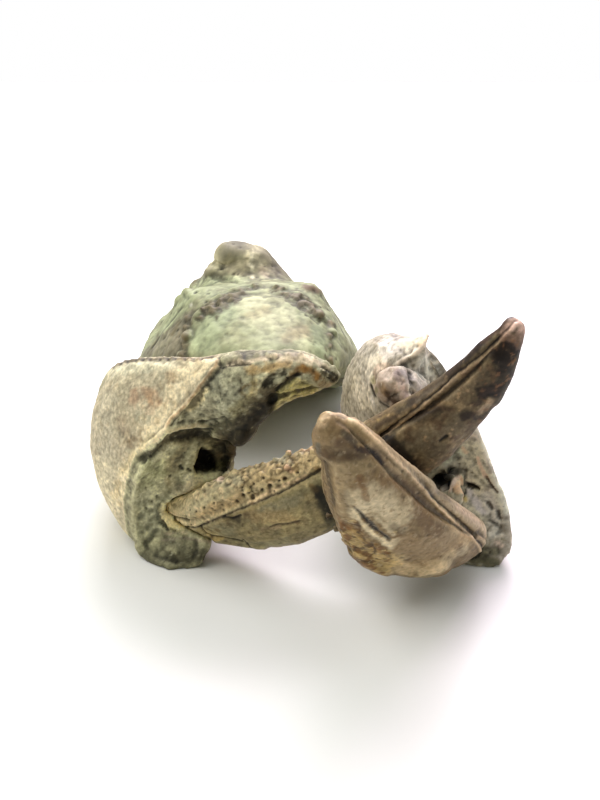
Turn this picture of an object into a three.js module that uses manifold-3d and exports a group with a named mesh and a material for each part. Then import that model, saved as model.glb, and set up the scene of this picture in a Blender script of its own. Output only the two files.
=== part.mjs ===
// A fossil mud lobster, lying on its underside with both claws folded across in front of it.
// Millimetres, +Z up, the claws towards -Y. Left and right are as seen from the front.
import * as THREE from "three";
import { mergeVertices } from "three/addons/utils/BufferGeometryUtils.js";
import Module from "manifold-3d";

const wasm = await Module();
wasm.setup();

const GAP = 0.3; // left between pieces that touch
const WELD = 1e-4; // points closer than this are one point

// Round a finger's section, as [out of its face, towards its biting edge]: a broad rounded face,
// a groove, and a narrow strip that carries the biting edge.
const FINGER_OUTLINE = [
  [0.1, -1],
  [0.62, -0.78],
  [0.95, -0.3],
  [1, 0.12],
  [0.92, 0.42],
  [0.6, 0.5],
  [0.78, 0.64],
  [0.55, 0.9],
  [0.08, 1],
  [-0.5, 0.82],
  [-0.92, 0.35],
  [-1, -0.2],
  [-0.6, -0.78],
];
// The same for the front finger, whose broad face reaches almost to its biting edge.
const SHIELD_OUTLINE = [
  [0.1, -1],
  [0.62, -0.78],
  [0.95, -0.3],
  [1, 0.12],
  [0.92, 0.5],
  [0.72, 0.82],
  [0.46, 0.76],
  [0.36, 0.96],
  [-0.05, 1],
  [-0.5, 0.82],
  [-0.92, 0.35],
  [-1, -0.2],
  [-0.6, -0.78],
];
const ROUND_OUTLINE = Array.from({ length: 12 }, (_, i) => {
  const angle = (i / 12) * 2 * Math.PI;
  return [Math.sin(angle), -Math.cos(angle)];
});

// Row values between the rows of a table, at t from 0 to 1, on a smooth curve through them.
function between(rows, t) {
  const last = rows.length - 1;
  const i = Math.min(Math.floor(t * last), last - 1);
  const f = t * last - i;
  const row = (k) => rows[Math.min(Math.max(k, 0), last)];
  return rows[i].map((b, k) => {
    const a = row(i - 1)[k];
    const c = row(i + 1)[k];
    const d = row(i + 2)[k];
    const bend = (3 * b - 3 * c + d - a) * f + (2 * a - 5 * b + 4 * c - d);
    return b + 0.5 * f * (c - a + f * bend);
  });
}

// A smooth closed ring through the given points, with a number of steps between each two.
function smoothRing(points, steps) {
  const curve = new THREE.CatmullRomCurve3(points, true);
  return curve.getPoints(points.length * steps).slice(0, -1);
}

function middleOf(points) {
  return points
    .reduce((sum, point) => sum.add(point), new THREE.Vector3())
    .divideScalar(points.length);
}

// A closed body over a stack of rings with equal numbers of points; each end is closed by a fan.
function skin(rings) {
  const count = rings[0].length;
  const points = [...rings.flat(), middleOf(rings[0]), middleOf(rings.at(-1))];
  const firstMiddle = points.length - 2;
  const lastMiddle = points.length - 1;
  const lastRing = (rings.length - 1) * count;
  const faces = [];
  for (let j = 0; j < count; j++) {
    const next = (j + 1) % count;
    for (let row = 0; row < lastRing; row += count) {
      faces.push(row + j, row + next, row + count + next);
      faces.push(row + j, row + count + next, row + count + j);
    }
    faces.push(firstMiddle, next, j, lastMiddle, lastRing + j, lastRing + next);
  }
  return solid(new THREE.BufferGeometry().setFromPoints(points).setIndex(faces));
}

// A geometry as a solid for joining and cutting, turned the right way out.
function solid(geometry) {
  const plain = geometry.clone();
  plain.deleteAttribute("normal");
  plain.deleteAttribute("uv");
  const merged = mergeVertices(plain, WELD);
  const vertProperties = merged.attributes.position.array;
  const triVerts = new Uint32Array(merged.index.array);
  const body = new wasm.Manifold(new wasm.Mesh({ numProp: 3, vertProperties, triVerts }));
  if (body.volume() > 0) return body;
  for (let i = 0; i < triVerts.length; i += 3) {
    triVerts.subarray(i, i + 3).reverse();
  }
  return new wasm.Manifold(new wasm.Mesh({ numProp: 3, vertProperties, triVerts }));
}

// A lump with the given middle, half sizes and turn about X, Y and Z.
function lump(at, halfSizes, turn = [0, 0, 0], detail = 6) {
  const matrix = new THREE.Matrix4().compose(
    new THREE.Vector3(...at),
    new THREE.Quaternion().setFromEuler(new THREE.Euler(...turn)),
    new THREE.Vector3(...halfSizes),
  );
  return solid(new THREE.SphereGeometry(1, detail, detail - 2).applyMatrix4(matrix));
}

// Where a limb is at t from 0 to 1 along its spine, as a function from [out, bite] shares of its
// section to points. Each station is a point on the spine, then how far the limb reaches towards
// its biting edge, towards its heel, out of its face and out of its back.
function limbAt({ stations, face, side = 1 }, t, grow = 0) {
  const spine = new THREE.CatmullRomCurve3(
    stations.map(([x, y, z]) => new THREE.Vector3(x, y, z)),
  );
  const at = spine.getPoint(t);
  const along = spine.getTangent(t);
  const out = new THREE.Vector3(...between(face, t));
  out.addScaledVector(along, -out.dot(along)).normalize();
  const biting = out.clone().cross(along).multiplyScalar(side);
  const reaches = between(stations.map((station) => station.slice(3)), t);
  const [bite, heel, front, back] = reaches.map((reach) => reach + grow);
  return (x, y) =>
    at
      .clone()
      .addScaledVector(out, x * (x > 0 ? front : back))
      .addScaledVector(biting, y * (y > 0 ? bite : heel));
}

// A finger or an arm swept along its spine.
function limb(spec, grow = 0) {
  const { outline = FINGER_OUTLINE, rings, steps = 2 } = spec;
  const section = smoothRing(
    outline.map(([out, bite]) => new THREE.Vector3(out, bite, 0)),
    steps,
  );
  const stack = [];
  for (let i = 0; i <= rings; i++) {
    const place = limbAt(spec, i / rings, grow);
    stack.push(section.map(({ x, y }) => place(x, y)));
  }
  return skin(stack);
}

// A shell drawn over rows of points, each row a closed loop round the piece. The first row is
// its open mouth, which is hollowed by a dish that is narrower and deeper with each share.
function drape(rows, rings, steps = 2, dish = []) {
  const flat = rows.map((row) => row.flat());
  const stack = [];
  for (let i = 0; i <= rings; i++) {
    const values = between(flat, i / rings);
    const points = rows[0].map((_, k) => new THREE.Vector3(...values.slice(3 * k, 3 * k + 3)));
    stack.push(smoothRing(points, steps));
  }
  const mouth = stack[0];
  const middle = middleOf(mouth);
  for (const [share, ...shift] of dish) {
    const sunk = middle.clone().add(new THREE.Vector3(...shift));
    stack.unshift(
      mouth.map((point) => sunk.clone().addScaledVector(point.clone().sub(middle), share)),
    );
  }
  return skin(stack);
}

// Below the level that the object rests on, everything is cut away.
function restOnTable(body) {
  return body.trimByPlane([0, 0, 1], 0);
}

// The long dome over the body. Its middle line leans to the left as it runs back.
const CARAPACE_START = [-2.3, 14];
const CARAPACE_LEAN = -0.165;
const FLANK_SKEW = 0.07; // the left flank is pressed out and the right one in, by this share
const SKEW_HEIGHT = 20; // at this height nothing is pressed aside
// Half sections: how far back along the middle line, then [side, up] from under it to its crown.
const CARAPACE = [
  [
    18, [0, 11.4], [0.5, 11.4], [0.8, 11.6], [0.9, 12], [0.8, 12.4], [0.6, 12.8], [0.4, 13],
    [0.2, 13.1], [0, 13.2],
  ],
  [
    21, [0, 10.2], [2, 10.2], [3.6, 10.4], [4.2, 11.6], [3.8, 12.8], [3, 13.7], [2, 14.4],
    [1, 14.8], [0, 15],
  ],
  [
    24.5, [0, 9], [4.6, 8.8], [7.6, 9], [8.6, 10.6], [8, 12.4], [6.6, 14], [4.6, 15.2], [2.3, 15.8],
    [0, 16],
  ],
  [
    31, [0, 6.6], [7, 6.4], [11.6, 6.4], [13, 8.6], [11.8, 11.4], [9.2, 14.2], [6.4, 16.2],
    [3.2, 17.1], [0, 17.3],
  ],
  [
    37, [0, 2.6], [9, 2.2], [14.2, 2], [15.4, 5.4], [13.2, 10], [10.2, 14.2], [7.6, 16.7],
    [3.9, 17.5], [0, 17.7],
  ],
  [
    40.5, [0, -0.2], [9.6, -0.2], [14.8, 1], [15.8, 4.8], [13.4, 9.2], [10.8, 13.4], [8.8, 16.2],
    [4.4, 16.8], [0, 17],
  ],
  [
    43, [0, -0.2], [9.6, -0.2], [14.6, 1], [15.2, 4.2], [12.4, 8.8], [9.8, 12.6], [7.4, 14.9],
    [4, 16.4], [0, 17],
  ],
  [
    46.5, [0, -0.2], [9.6, -0.2], [14.4, 1], [14.9, 4], [12, 8], [8.9, 11.6], [6.7, 14.6],
    [4.3, 17.3], [0, 19.2],
  ],
  [
    50, [0, -0.2], [9.4, -0.2], [14, 1], [14.4, 4], [11.4, 7.4], [8.4, 10.8], [6.4, 13.8],
    [4.2, 16.8], [0, 18.9],
  ],
  [
    56, [0, -0.2], [8.6, -0.2], [12.6, 1.2], [12.9, 4], [10.4, 7], [7.8, 9.8], [5.9, 12.2],
    [3.6, 14.8], [0, 16.4],
  ],
  [
    60.6, [0, 1.2], [6, 1.2], [9.2, 2.2], [9.9, 4.6], [8.6, 7.2], [6.8, 9.2], [5, 11], [2.7, 12.7],
    [0, 13.6],
  ],
  [63, [0, 2.8], [4.4, 2.8], [6.4, 3.4], [7, 5], [6.2, 6.8], [5, 8.2], [3.6, 9.6], [1.9, 10.6], [0, 11]],
];
const CARAPACE_RINGS = 22;

function carapacePoint(back, side, up) {
  const [startX, startY] = CARAPACE_START;
  const skewed = side - Math.abs(side) * FLANK_SKEW * (1 - up / SKEW_HEIGHT);
  const x = startX + CARAPACE_LEAN * (back - startY) + skewed;
  return [x, back - CARAPACE_LEAN * skewed, up];
}

function carapace() {
  const rows = CARAPACE.map(([back, ...half]) => {
    const other = half.slice(1, -1).reverse();
    const right = half.map(([side, up]) => carapacePoint(back, side, up));
    const left = other.map(([side, up]) => carapacePoint(back, -side, up));
    return [...right, ...left];
  });
  return restOnTable(drape(rows, CARAPACE_RINGS));
}

// Knuckled lumps along the arched groove that bounds the pale front shield:
// [back, side, up, half length, turn].
const GROOVE_LUMPS = [
  [37.4, 0.4, 17.4, 1.2, 0],
  [36.6, -2.4, 17.3, 1.3, 0.2],
  [34.9, -5, 16.9, 1.6, 0.5],
  [32.6, -7.4, 15.8, 1.5, 0.9],
  [30.3, -9, 14.1, 1.1, 1.2],
  [28.2, -9.9, 12.3, 1, 1.3],
  [36.4, 3.4, 17.3, 1.3, -0.2],
  [34.4, 6, 16.5, 1.9, -0.6],
  [31.8, 8, 15.2, 1.2, -1],
  [29.8, 9.3, 13.4, 1, -1.2],
];
const LUMP_WIDTH = 0.9;
const LUMP_HEIGHT = 0.8;
const LUMP_TILT = 0.08; // radians for each millimetre out from the middle line
// Knobs on the hump behind it: [back, side, up, half width].
const HUMP_KNOBS = [
  [47.6, -1.4, 18.5, 2.6],
  [46.4, -4.6, 16.4, 1.5],
];
const KNOB_FLATNESS = 0.6;

function carapaceLumps() {
  const lumps = GROOVE_LUMPS.map(([back, side, up, half, turn]) => {
    const halfSizes = [half, LUMP_WIDTH, LUMP_HEIGHT];
    return lump(carapacePoint(back, side, up), halfSizes, [0, side * LUMP_TILT, turn]);
  });
  const knobs = HUMP_KNOBS.map(([back, side, up, half]) => {
    const halfSizes = [half, half, half * KNOB_FLATNESS];
    return lump(carapacePoint(back, side, up), halfSizes, [0, side * LUMP_TILT, 0]);
  });
  return [...lumps, ...knobs];
}

// Palms, as rows from the mouth end to the wrist; each row runs from under the inner side
// outwards, up the outer side, over the crest and down the inner side.
const LEFT_PALM = [
  [
    [-10.6, 0.6, 0.4], [-13.9, 0.2, -0.4], [-17.1, 2.2, 0.4], [-17.9, 2.6, 3.8], [-17, 2, 10],
    [-13.5, 2.2, 15.5], [-10.9, 3, 19], [-8.5, 4, 22.6], [-5.6, 6.4, 20], [-6.9, 5.5, 13],
    [-8.2, 3.4, 6],
  ],
  [
    [-10.6, 7, 0.4], [-14.6, 7, -0.5], [-19, 7, 0.2], [-21.5, 7.4, 3.4], [-22.5, 8, 9.4],
    [-20.6, 8.2, 15.4], [-17.6, 8.6, 19], [-14.2, 8.5, 20.8], [-9.6, 10, 19], [-7.4, 10, 12.5],
    [-8.4, 8.6, 5],
  ],
  [
    [-12.5, 15, 0.8], [-16.5, 15, 0.2], [-20.3, 14, 1.6], [-22.6, 13.6, 5], [-23.4, 13.4, 9.4],
    [-22.7, 13.4, 13.4], [-21.5, 13.4, 16.4], [-19.5, 13.4, 18], [-14.8, 15, 17], [-11.4, 15, 11.5],
    [-11, 15, 5],
  ],
  [
    [-15.8, 21, 2.2], [-18.4, 21, 1.6], [-20.8, 20.6, 2.6], [-22.6, 20.4, 5.4], [-23.2, 20.4, 8.8],
    [-22.6, 20.2, 11.4], [-21.6, 20, 13.2], [-20, 20, 14.2], [-17.4, 21, 13.6], [-15.2, 21, 10],
    [-14.8, 21, 5.4],
  ],
  [
    [-17.4, 26.4, 4.6], [-18.8, 26.4, 4], [-20.2, 26.4, 4.6], [-21.2, 26.4, 6], [-21.6, 26.4, 7.8],
    [-21.2, 26.4, 9.4], [-20.4, 26.4, 10.4], [-19.2, 26.4, 10.8], [-17.8, 26.4, 10.4],
    [-16.8, 26.4, 8.8], [-16.6, 26.4, 6.4],
  ],
];
const RIGHT_PALM = [
  [
    [14.4, 2.2, 0.4], [18.2, 0.8, -0.4], [21.3, 0.5, 0.2], [22.3, 2.1, 2.4], [21.4, 4, 7],
    [18.8, 6, 13], [16.2, 7.6, 18.2], [13.6, 9.6, 23.2], [11.6, 7.4, 20.6], [10.2, 6, 17.4],
    [10, 4.6, 12], [11.4, 3.4, 5.6],
  ],
  [
    [12.4, 10, 0.4], [16, 8.6, -0.4], [19.4, 8, 0.4], [21.6, 8.8, 3.6], [20.4, 10.4, 8.6],
    [17.6, 11.6, 14.6], [14.8, 12.2, 18.4], [11.6, 12.4, 21.4], [8.7, 11.4, 20.6], [7.4, 10.4, 17],
    [7.4, 9.4, 11.5], [9.2, 9.6, 5],
  ],
  [
    [8.8, 18, 1.6], [11.6, 17.6, 0.8], [14.8, 17.6, 1.6], [16.9, 18, 4.6], [17.2, 18.6, 8.6],
    [15.8, 18.8, 12.6], [13.4, 18.8, 16], [10.2, 18.6, 18.8], [7.4, 18, 18.2], [5.5, 17.6, 15.2],
    [4.7, 17.4, 10.6], [5.8, 17.8, 5.4],
  ],
  [
    [8.6, 24.6, 4], [10.2, 24.6, 3.4], [11.8, 24.6, 4], [12.9, 24.6, 5.4], [13.2, 24.6, 7.4],
    [12.6, 24.6, 9.4], [11.4, 24.6, 10.8], [9.8, 24.6, 11.4], [8.4, 24.6, 11], [7.4, 24.6, 9.6],
    [7, 24.6, 7.6], [7.4, 24.6, 5.4],
  ],
];
const PALM_RINGS = 12;
// How the mouth ends are hollowed: [share of the mouth's width, shift of its middle].
const LEFT_DISH = [[0.93, 0, -0.3, 0], [0.75, 0.3, 0.5, 0], [0.4, 0.5, 1.2, 0]];
const RIGHT_DISH = [[0.93, 0, -0.2, 0], [0.75, -0.5, 0.8, 0], [0.4, -0.8, 1.8, 0]];

// The short finger that grew as one with the left palm.
const LEFT_FIXED_FINGER = {
  face: [[-0.2, -1, 0.1], [0, -1, 0.05], [0.1, -1, 0]],
  side: -1,
  rings: 14,
  stations: [
    [-12.2, 7.6, 17.4, 4.6, 2.4, 3.8, 3],
    [-9.6, 6.2, 19, 6.6, 2.6, 3.2, 3.2],
    [-7, 5, 20.4, 7.3, 2.3, 3, 3.2],
    [-4.6, 4.3, 21, 5.2, 2.2, 2.8, 3],
    [-2.2, 4, 21.3, 3.6, 2.1, 2.6, 2.8],
    [-0.2, 4, 21.3, 2.5, 2.1, 2.3, 2.4],
    [1.8, 4, 21.1, 1.7, 1.6, 1.8, 1.8],
    [3.2, 4, 20.8, 1.1, 0.9, 1.1, 1.1],
    [3.8, 4, 20.6, 0.4, 0.4, 0.4, 0.4],
  ],
};
// The stub of a finger that grew as one with the right palm; it points at the viewer.
const RIGHT_FIXED_FINGER = {
  face: [[-0.4, -1, 0.4], [-0.4, -1, 0.3]],
  outline: ROUND_OUTLINE,
  rings: 9,
  steps: 1,
  stations: [
    [11.6, 10.6, 16.2, 2.6, 2.6, 2.6, 2.6],
    [11, 8, 17, 2.6, 2.6, 2.6, 2.6],
    [10.2, 5.8, 18.2, 2.5, 2.5, 2.5, 2.5],
    [9.2, 4.6, 19.8, 2, 2, 2, 2],
    [8.5, 4.2, 20.9, 1, 1, 1, 1],
  ],
};

// The long movable finger of the left claw: it sweeps to the right through the right claw's
// mouth and ends as the tall blade.
const LEFT_DACTYL = {
  face: [[-0.1, -1, -0.8], [0, -1, 0.05], [0, -1, 0.35], [0.1, -1, 0.65], [0.1, -1, 0.6]],
  rings: 20,
  stations: [
    [-13.4, 5.2, 4.6, 1.6, 1.6, 1.4, 1.6],
    [-9.8, 3, 5.2, 3.6, 3.9, 2.4, 2.4],
    [-6, 1.6, 6.8, 4.5, 5, 2.8, 2.8],
    [-1.8, 0.5, 8.6, 4.4, 5.2, 2.9, 2.8],
    [2.2, 0.1, 10.6, 4.1, 4.6, 2.8, 2.7],
    [6.6, 0, 13, 4, 3.9, 2.6, 2.6],
    [10.6, 0, 15.8, 3.9, 3.7, 2.4, 2.4],
    [14, -0.5, 19.1, 3.4, 3.3, 2.2, 2.2],
    [16.4, -1, 22.5, 2.8, 2.8, 1.9, 1.9],
    [18, -1.6, 26, 2.1, 2, 1.5, 1.5],
    [19.2, -2, 29.2, 0.8, 0.7, 0.6, 0.6],
  ],
};
// The movable finger of the right claw, which crosses in front of everything.
const RIGHT_DACTYL = {
  face: [[-0.45, -1, -0.1], [-0.3, -1, 0.2], [-0.25, -1, 0.4], [-0.25, -1, 0.45]],
  outline: SHIELD_OUTLINE,
  side: -1,
  rings: 16,
  stations: [
    [18.4, 1.4, 2.9, 1.6, 1.2, 1.2, 1.4],
    [16.6, 0.2, 3.9, 3.4, 2.3, 2.4, 2.4],
    [14, -1.9, 5.4, 4.6, 4.1, 3.2, 2.9],
    [11, -4.2, 8.4, 5.1, 5.5, 3.4, 3],
    [8.3, -6.4, 12, 4.8, 5.5, 3.3, 2.9],
    [5.8, -8.4, 16.4, 4, 4.5, 2.9, 2.6],
    [4, -9.9, 20.4, 2.9, 2.9, 2.3, 2.2],
    [2.6, -10.8, 23.4, 1.7, 1.8, 1.5, 1.6],
    [2, -11.1, 24.7, 0.6, 0.6, 0.5, 0.6],
  ],
};

// Wrists and arms, which carry the palms and tuck in under the front of the carapace.
const LEFT_WRIST = {
  face: [[0, -0.3, 1], [0, -0.3, 1]],
  outline: ROUND_OUTLINE,
  rings: 7,
  steps: 1,
  stations: [
    [-19.1, 26.8, 7.4, 2, 2, 2.6, 2.6],
    [-19.3, 28.2, 6.9, 3.2, 3.2, 3.6, 3.6],
    [-19, 30.6, 5.2, 3.6, 3.6, 3.8, 3.8],
    [-17.8, 32.4, 4, 2.4, 2.4, 2.4, 2.4],
  ],
};
const LEFT_ARM = {
  face: [[0, 0, 1], [0, 0, 1]],
  outline: ROUND_OUTLINE,
  rings: 7,
  steps: 1,
  stations: [
    [-15.8, 31.4, 3.2, 2, 2, 2, 2],
    [-14, 31.6, 3.1, 2.8, 2.8, 2.7, 2.8],
    [-11.8, 32, 3, 2.9, 2.9, 2.6, 2.8],
    [-9.4, 32.6, 2.9, 2.2, 2.2, 2.2, 2.4],
  ],
};
const RIGHT_WRIST = {
  face: [[0, -0.3, 1], [0, -0.3, 1]],
  outline: ROUND_OUTLINE,
  rings: 7,
  steps: 1,
  stations: [
    [10.4, 25, 7.2, 2, 2, 2.6, 2.6],
    [11.2, 26.4, 6.8, 3, 3, 3.5, 3.5],
    [12.2, 28.8, 5.2, 3.4, 3.4, 3.7, 3.7],
    [12.6, 30.8, 4, 2.4, 2.4, 2.4, 2.4],
  ],
};
const RIGHT_ARM = {
  face: [[0, 0, 1], [0, 0, 1]],
  outline: ROUND_OUTLINE,
  rings: 7,
  steps: 1,
  stations: [
    [12.4, 32.6, 3.2, 2, 2, 2, 2],
    [11.2, 33.2, 3.1, 2.6, 2.6, 2.6, 2.8],
    [9.2, 34, 3, 2.4, 2.4, 2.4, 2.7],
    [7.4, 34.8, 2.9, 1.6, 1.6, 1.8, 1.9],
  ],
};

// Rows of tubercles: the limb they stand on, from where to where along it, which way round its
// section, how many, and how far they reach.
const TUBERCLE_ROWS = {
  left_dactyl: [
    [LEFT_DACTYL, 0.13, 0.46, [0.05, 0.96], 11, 0.7],
    [LEFT_DACTYL, 0.1, 0.42, [0.74, 0.66], 9, 0.5],
  ],
  right_dactyl: [[RIGHT_DACTYL, 0.22, 0.56, [-0.1, -1], 8, 0.55]],
  left_palm: [[LEFT_FIXED_FINGER, 0.42, 0.86, [0.2, -0.95], 7, 0.5]],
};
const SMALL_TUBERCLE = 0.82; // every other tubercle is smaller by this much
const CREST = 7; // the place of the crest in a row of the left palm
const CREST_TUBERCLES = { count: 9, start: 0.06, step: 0.05, reach: 0.5 };

function tubercle(at, reach) {
  const { x, y, z } = at;
  return solid(new THREE.OctahedronGeometry(reach, 0).translate(x, y, z));
}

function tubercles(piece) {
  return (TUBERCLE_ROWS[piece] ?? []).flatMap(([limbSpec, from, to, [x, y], count, reach]) =>
    Array.from({ length: count }, (_, i) => {
      const t = from + ((to - from) * i) / (count - 1);
      return tubercle(limbAt(limbSpec, t)(x, y), i % 2 ? reach : reach * SMALL_TUBERCLE);
    }),
  );
}

function crestTubercles() {
  const crest = LEFT_PALM.map((row) => row[CREST]);
  const { count, start, step, reach } = CREST_TUBERCLES;
  return Array.from({ length: count }, (_, i) =>
    tubercle(new THREE.Vector3(...between(crest, start + step * i)), reach),
  );
}

function without(body, ...limbs) {
  return limbs.reduce((rest, spec) => rest.subtract(limb(spec, GAP)), body);
}

function fuse(body, lumps) {
  return lumps.reduce((all, one) => all.add(one), body);
}

// The hollow at the root of the left claw's fingers, and the tubercle in the right claw's mouth.
const LEFT_HOLLOW = [[-8.4, 3.4, 11.2], [2.6, 3.2, 2], [0, 0.3, 0.2]];
const MOUTH_TUBERCLE = [[16, 4.6, 7.2], [1.2, 2.6, 1.8], [0.5, 0, 0.2]];

const leftPalm = fuse(drape(LEFT_PALM, PALM_RINGS, 2, LEFT_DISH), [
  limb(LEFT_FIXED_FINGER),
  ...tubercles("left_palm"),
  ...crestTubercles(),
]).subtract(lump(...LEFT_HOLLOW));
const rightPalm = fuse(drape(RIGHT_PALM, PALM_RINGS, 2, RIGHT_DISH), [
  limb(RIGHT_FIXED_FINGER),
  lump(...MOUTH_TUBERCLE),
]);
const leftDactyl = fuse(limb(LEFT_DACTYL), tubercles("left_dactyl"));
const rightDactyl = fuse(limb(RIGHT_DACTYL), tubercles("right_dactyl"));
const shell = fuse(carapace(), carapaceLumps());

const PIECES = {
  carapace: without(shell, LEFT_ARM, RIGHT_ARM, LEFT_WRIST, RIGHT_WRIST),
  left_palm: restOnTable(without(leftPalm, LEFT_DACTYL, LEFT_WRIST)),
  left_dactyl: leftDactyl,
  left_wrist: restOnTable(limb(LEFT_WRIST)),
  left_arm: restOnTable(without(limb(LEFT_ARM), LEFT_WRIST)),
  right_palm: restOnTable(without(rightPalm, LEFT_DACTYL, RIGHT_DACTYL, RIGHT_WRIST)),
  right_dactyl: without(rightDactyl, LEFT_DACTYL),
  right_wrist: restOnTable(limb(RIGHT_WRIST)),
  right_arm: restOnTable(without(limb(RIGHT_ARM), RIGHT_WRIST)),
};
const STONE = 0x7f7f68;
const STONES = {
  carapace: 0x9aa083,
  left_palm: 0xa39a72,
  left_dactyl: 0x8f8664,
  right_palm: 0x9c9582,
  right_dactyl: 0xa78f77,
};
const ROUGHNESS = 0.85;

// A named mesh of a solid, with its own stone material.
function meshOf(name, body) {
  const { vertProperties, triVerts } = body.getMesh();
  const geometry = new THREE.BufferGeometry();
  geometry.setAttribute("position", new THREE.BufferAttribute(vertProperties, 3));
  geometry.setIndex(new THREE.BufferAttribute(triVerts, 1));
  const color = STONES[name] ?? STONE;
  const material = new THREE.MeshStandardMaterial({ color, roughness: ROUGHNESS, name });
  const mesh = new THREE.Mesh(geometry, material);
  mesh.name = name;
  return mesh;
}

const lobster = new THREE.Group();
for (const [name, body] of Object.entries(PIECES)) {
  lobster.add(meshOf(name, body));
}

// The origin is under the middle of the whole object, at the level that it rests on.
const bounds = new THREE.Box3().setFromObject(lobster);
const middle = bounds.getCenter(new THREE.Vector3());
lobster.position.set(-middle.x, -middle.y, -bounds.min.z);

export default lobster;
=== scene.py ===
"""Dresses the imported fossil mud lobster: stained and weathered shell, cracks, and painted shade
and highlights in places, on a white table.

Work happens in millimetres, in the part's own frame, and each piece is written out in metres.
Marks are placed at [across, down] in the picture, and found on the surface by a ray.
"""

import math

import bpy
import numpy as np
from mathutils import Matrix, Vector
from mathutils.bvhtree import BVHTree


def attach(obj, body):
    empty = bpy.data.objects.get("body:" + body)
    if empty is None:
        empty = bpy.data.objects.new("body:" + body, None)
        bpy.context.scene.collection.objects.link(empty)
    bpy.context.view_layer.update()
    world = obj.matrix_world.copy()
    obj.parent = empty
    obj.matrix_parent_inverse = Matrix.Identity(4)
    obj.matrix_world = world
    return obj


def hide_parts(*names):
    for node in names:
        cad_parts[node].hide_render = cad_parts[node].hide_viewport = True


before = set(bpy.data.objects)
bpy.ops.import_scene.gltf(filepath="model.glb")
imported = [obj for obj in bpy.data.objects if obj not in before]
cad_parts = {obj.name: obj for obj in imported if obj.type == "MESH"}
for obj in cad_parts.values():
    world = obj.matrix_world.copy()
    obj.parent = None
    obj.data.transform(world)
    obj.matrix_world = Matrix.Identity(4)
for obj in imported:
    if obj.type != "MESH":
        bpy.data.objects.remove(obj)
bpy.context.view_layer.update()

# The camera, in millimetres and picture points (600 wide, 800 high).
EYE = np.array([0.68, -101.31, 60.4])
PITCH = math.radians(28)
FOCAL = 900.0
MIDDLE = (300.0, 400.0)
SIN, COS = math.sin(PITCH), math.cos(PITCH)
SENSOR = 36  # of the camera along the picture's long side, in millimetres

MM = 1000  # millimetres in a metre
DEPTH_SHARE = 0.5  # how much a difference in depth counts beside one across the picture
RAGGED = 0.4  # how far a mark's edge wanders, as a share of its width
SHRINK, REGROW = 0.6, -0.62  # the two halves of one smoothing step that keeps the size
BRIGHTEST = 0.85  # the most light that a surface gives back
TINT = "tint"  # the colour layer: surface colour, with the gloss as its fourth number


def smooth(low, high, x):
    """0 below low, 1 above high, and a soft step between."""
    t = np.clip((x - low) / (high - low), 0, 1)
    return t * t * (3 - 2 * t)


def band(x, at, width):
    """1 where x is at the given value, falling softly to 0 on both sides."""
    return np.exp(-(((x - at) / width) ** 2))


def hashed(cells, seed):
    """A number from 0 to 1 for each whole-numbered cell."""
    h = (
        cells[..., 0] * np.uint32(0x9E3779B1)
        ^ cells[..., 1] * np.uint32(0x85EBCA77)
        ^ cells[..., 2] * np.uint32(0xC2B2AE3D)
        ^ np.uint32(seed * 0x27D4EB2F & 0xFFFFFFFF)
    )
    h ^= h >> np.uint32(15)
    h *= np.uint32(0x2C1B3C6D)
    h ^= h >> np.uint32(12)
    h *= np.uint32(0x297A2D39)
    h ^= h >> np.uint32(15)
    return h.astype(np.float32) / np.float32(4294967296.0)


def noise(p, size, seed=0):
    """Smooth noise from about -1 to 1, with lumps of the given size."""
    q = p / size
    base = np.floor(q)
    f = (q - base).astype(np.float32)
    cell = base.astype(np.int64).astype(np.uint32)
    s = f * f * f * (f * (f * 6 - 15) + 10)
    total = np.zeros(len(p), np.float32)
    for corner in range(8):
        dx, dy, dz = corner & 1, corner >> 1 & 1, corner >> 2 & 1
        at = cell + np.array([dx, dy, dz], np.uint32)
        gx = hashed(at, seed) * 2 - 1
        gy = hashed(at, seed + 101) * 2 - 1
        gz = hashed(at, seed + 202) * 2 - 1
        dot = gx * (f[:, 0] - dx) + gy * (f[:, 1] - dy) + gz * (f[:, 2] - dz)
        wx = s[:, 0] if dx else 1 - s[:, 0]
        wy = s[:, 1] if dy else 1 - s[:, 1]
        wz = s[:, 2] if dz else 1 - s[:, 2]
        total += dot * wx * wy * wz
    return total * 1.6


def rough(p, size, seed=0, octaves=4, gain=0.5):
    """Layers of noise, each half the size of the one before."""
    total = np.zeros(len(p), np.float32)
    share = 1.0
    for i in range(octaves):
        total += share * noise(p, size * 0.5**i, seed + 7 * i)
        share *= gain
    return total


def grains(p, size, seed=0):
    """Distance to the nearest and the second nearest of scattered points, in units of size."""
    q = p / size
    base = np.floor(q)
    f = (q - base).astype(np.float32)
    cell = base.astype(np.int64)
    first = np.full(len(p), 9.0, np.float32)
    second = first.copy()
    for dx in (-1, 0, 1):
        for dy in (-1, 0, 1):
            for dz in (-1, 0, 1):
                at = (cell + np.array([dx, dy, dz])).astype(np.uint32)
                x = hashed(at, seed) + dx - f[:, 0]
                y = hashed(at, seed + 11) + dy - f[:, 1]
                z = hashed(at, seed + 22) + dz - f[:, 2]
                d = np.sqrt(x * x + y * y + z * z)
                second = np.minimum(second, np.maximum(first, d))
                first = np.minimum(first, d)
    return first, second


def picture(p):
    """Where points show in the photograph's frame, with depth as a third number."""
    x, y, z = (p - EYE).T
    ahead = y * COS - z * SIN
    up = y * SIN + z * COS
    return np.stack(
        [MIDDLE[0] + FOCAL * x / ahead, MIDDLE[1] - FOCAL * up / ahead, FOCAL * np.log(ahead)], 1
    )


def ray_through(u, v):
    """The direction in which the camera sees a picture place."""
    across, up = (u - MIDDLE[0]) / FOCAL, (MIDDLE[1] - v) / FOCAL
    return Vector((across, COS + up * SIN, -SIN + up * COS)).normalized()


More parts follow.
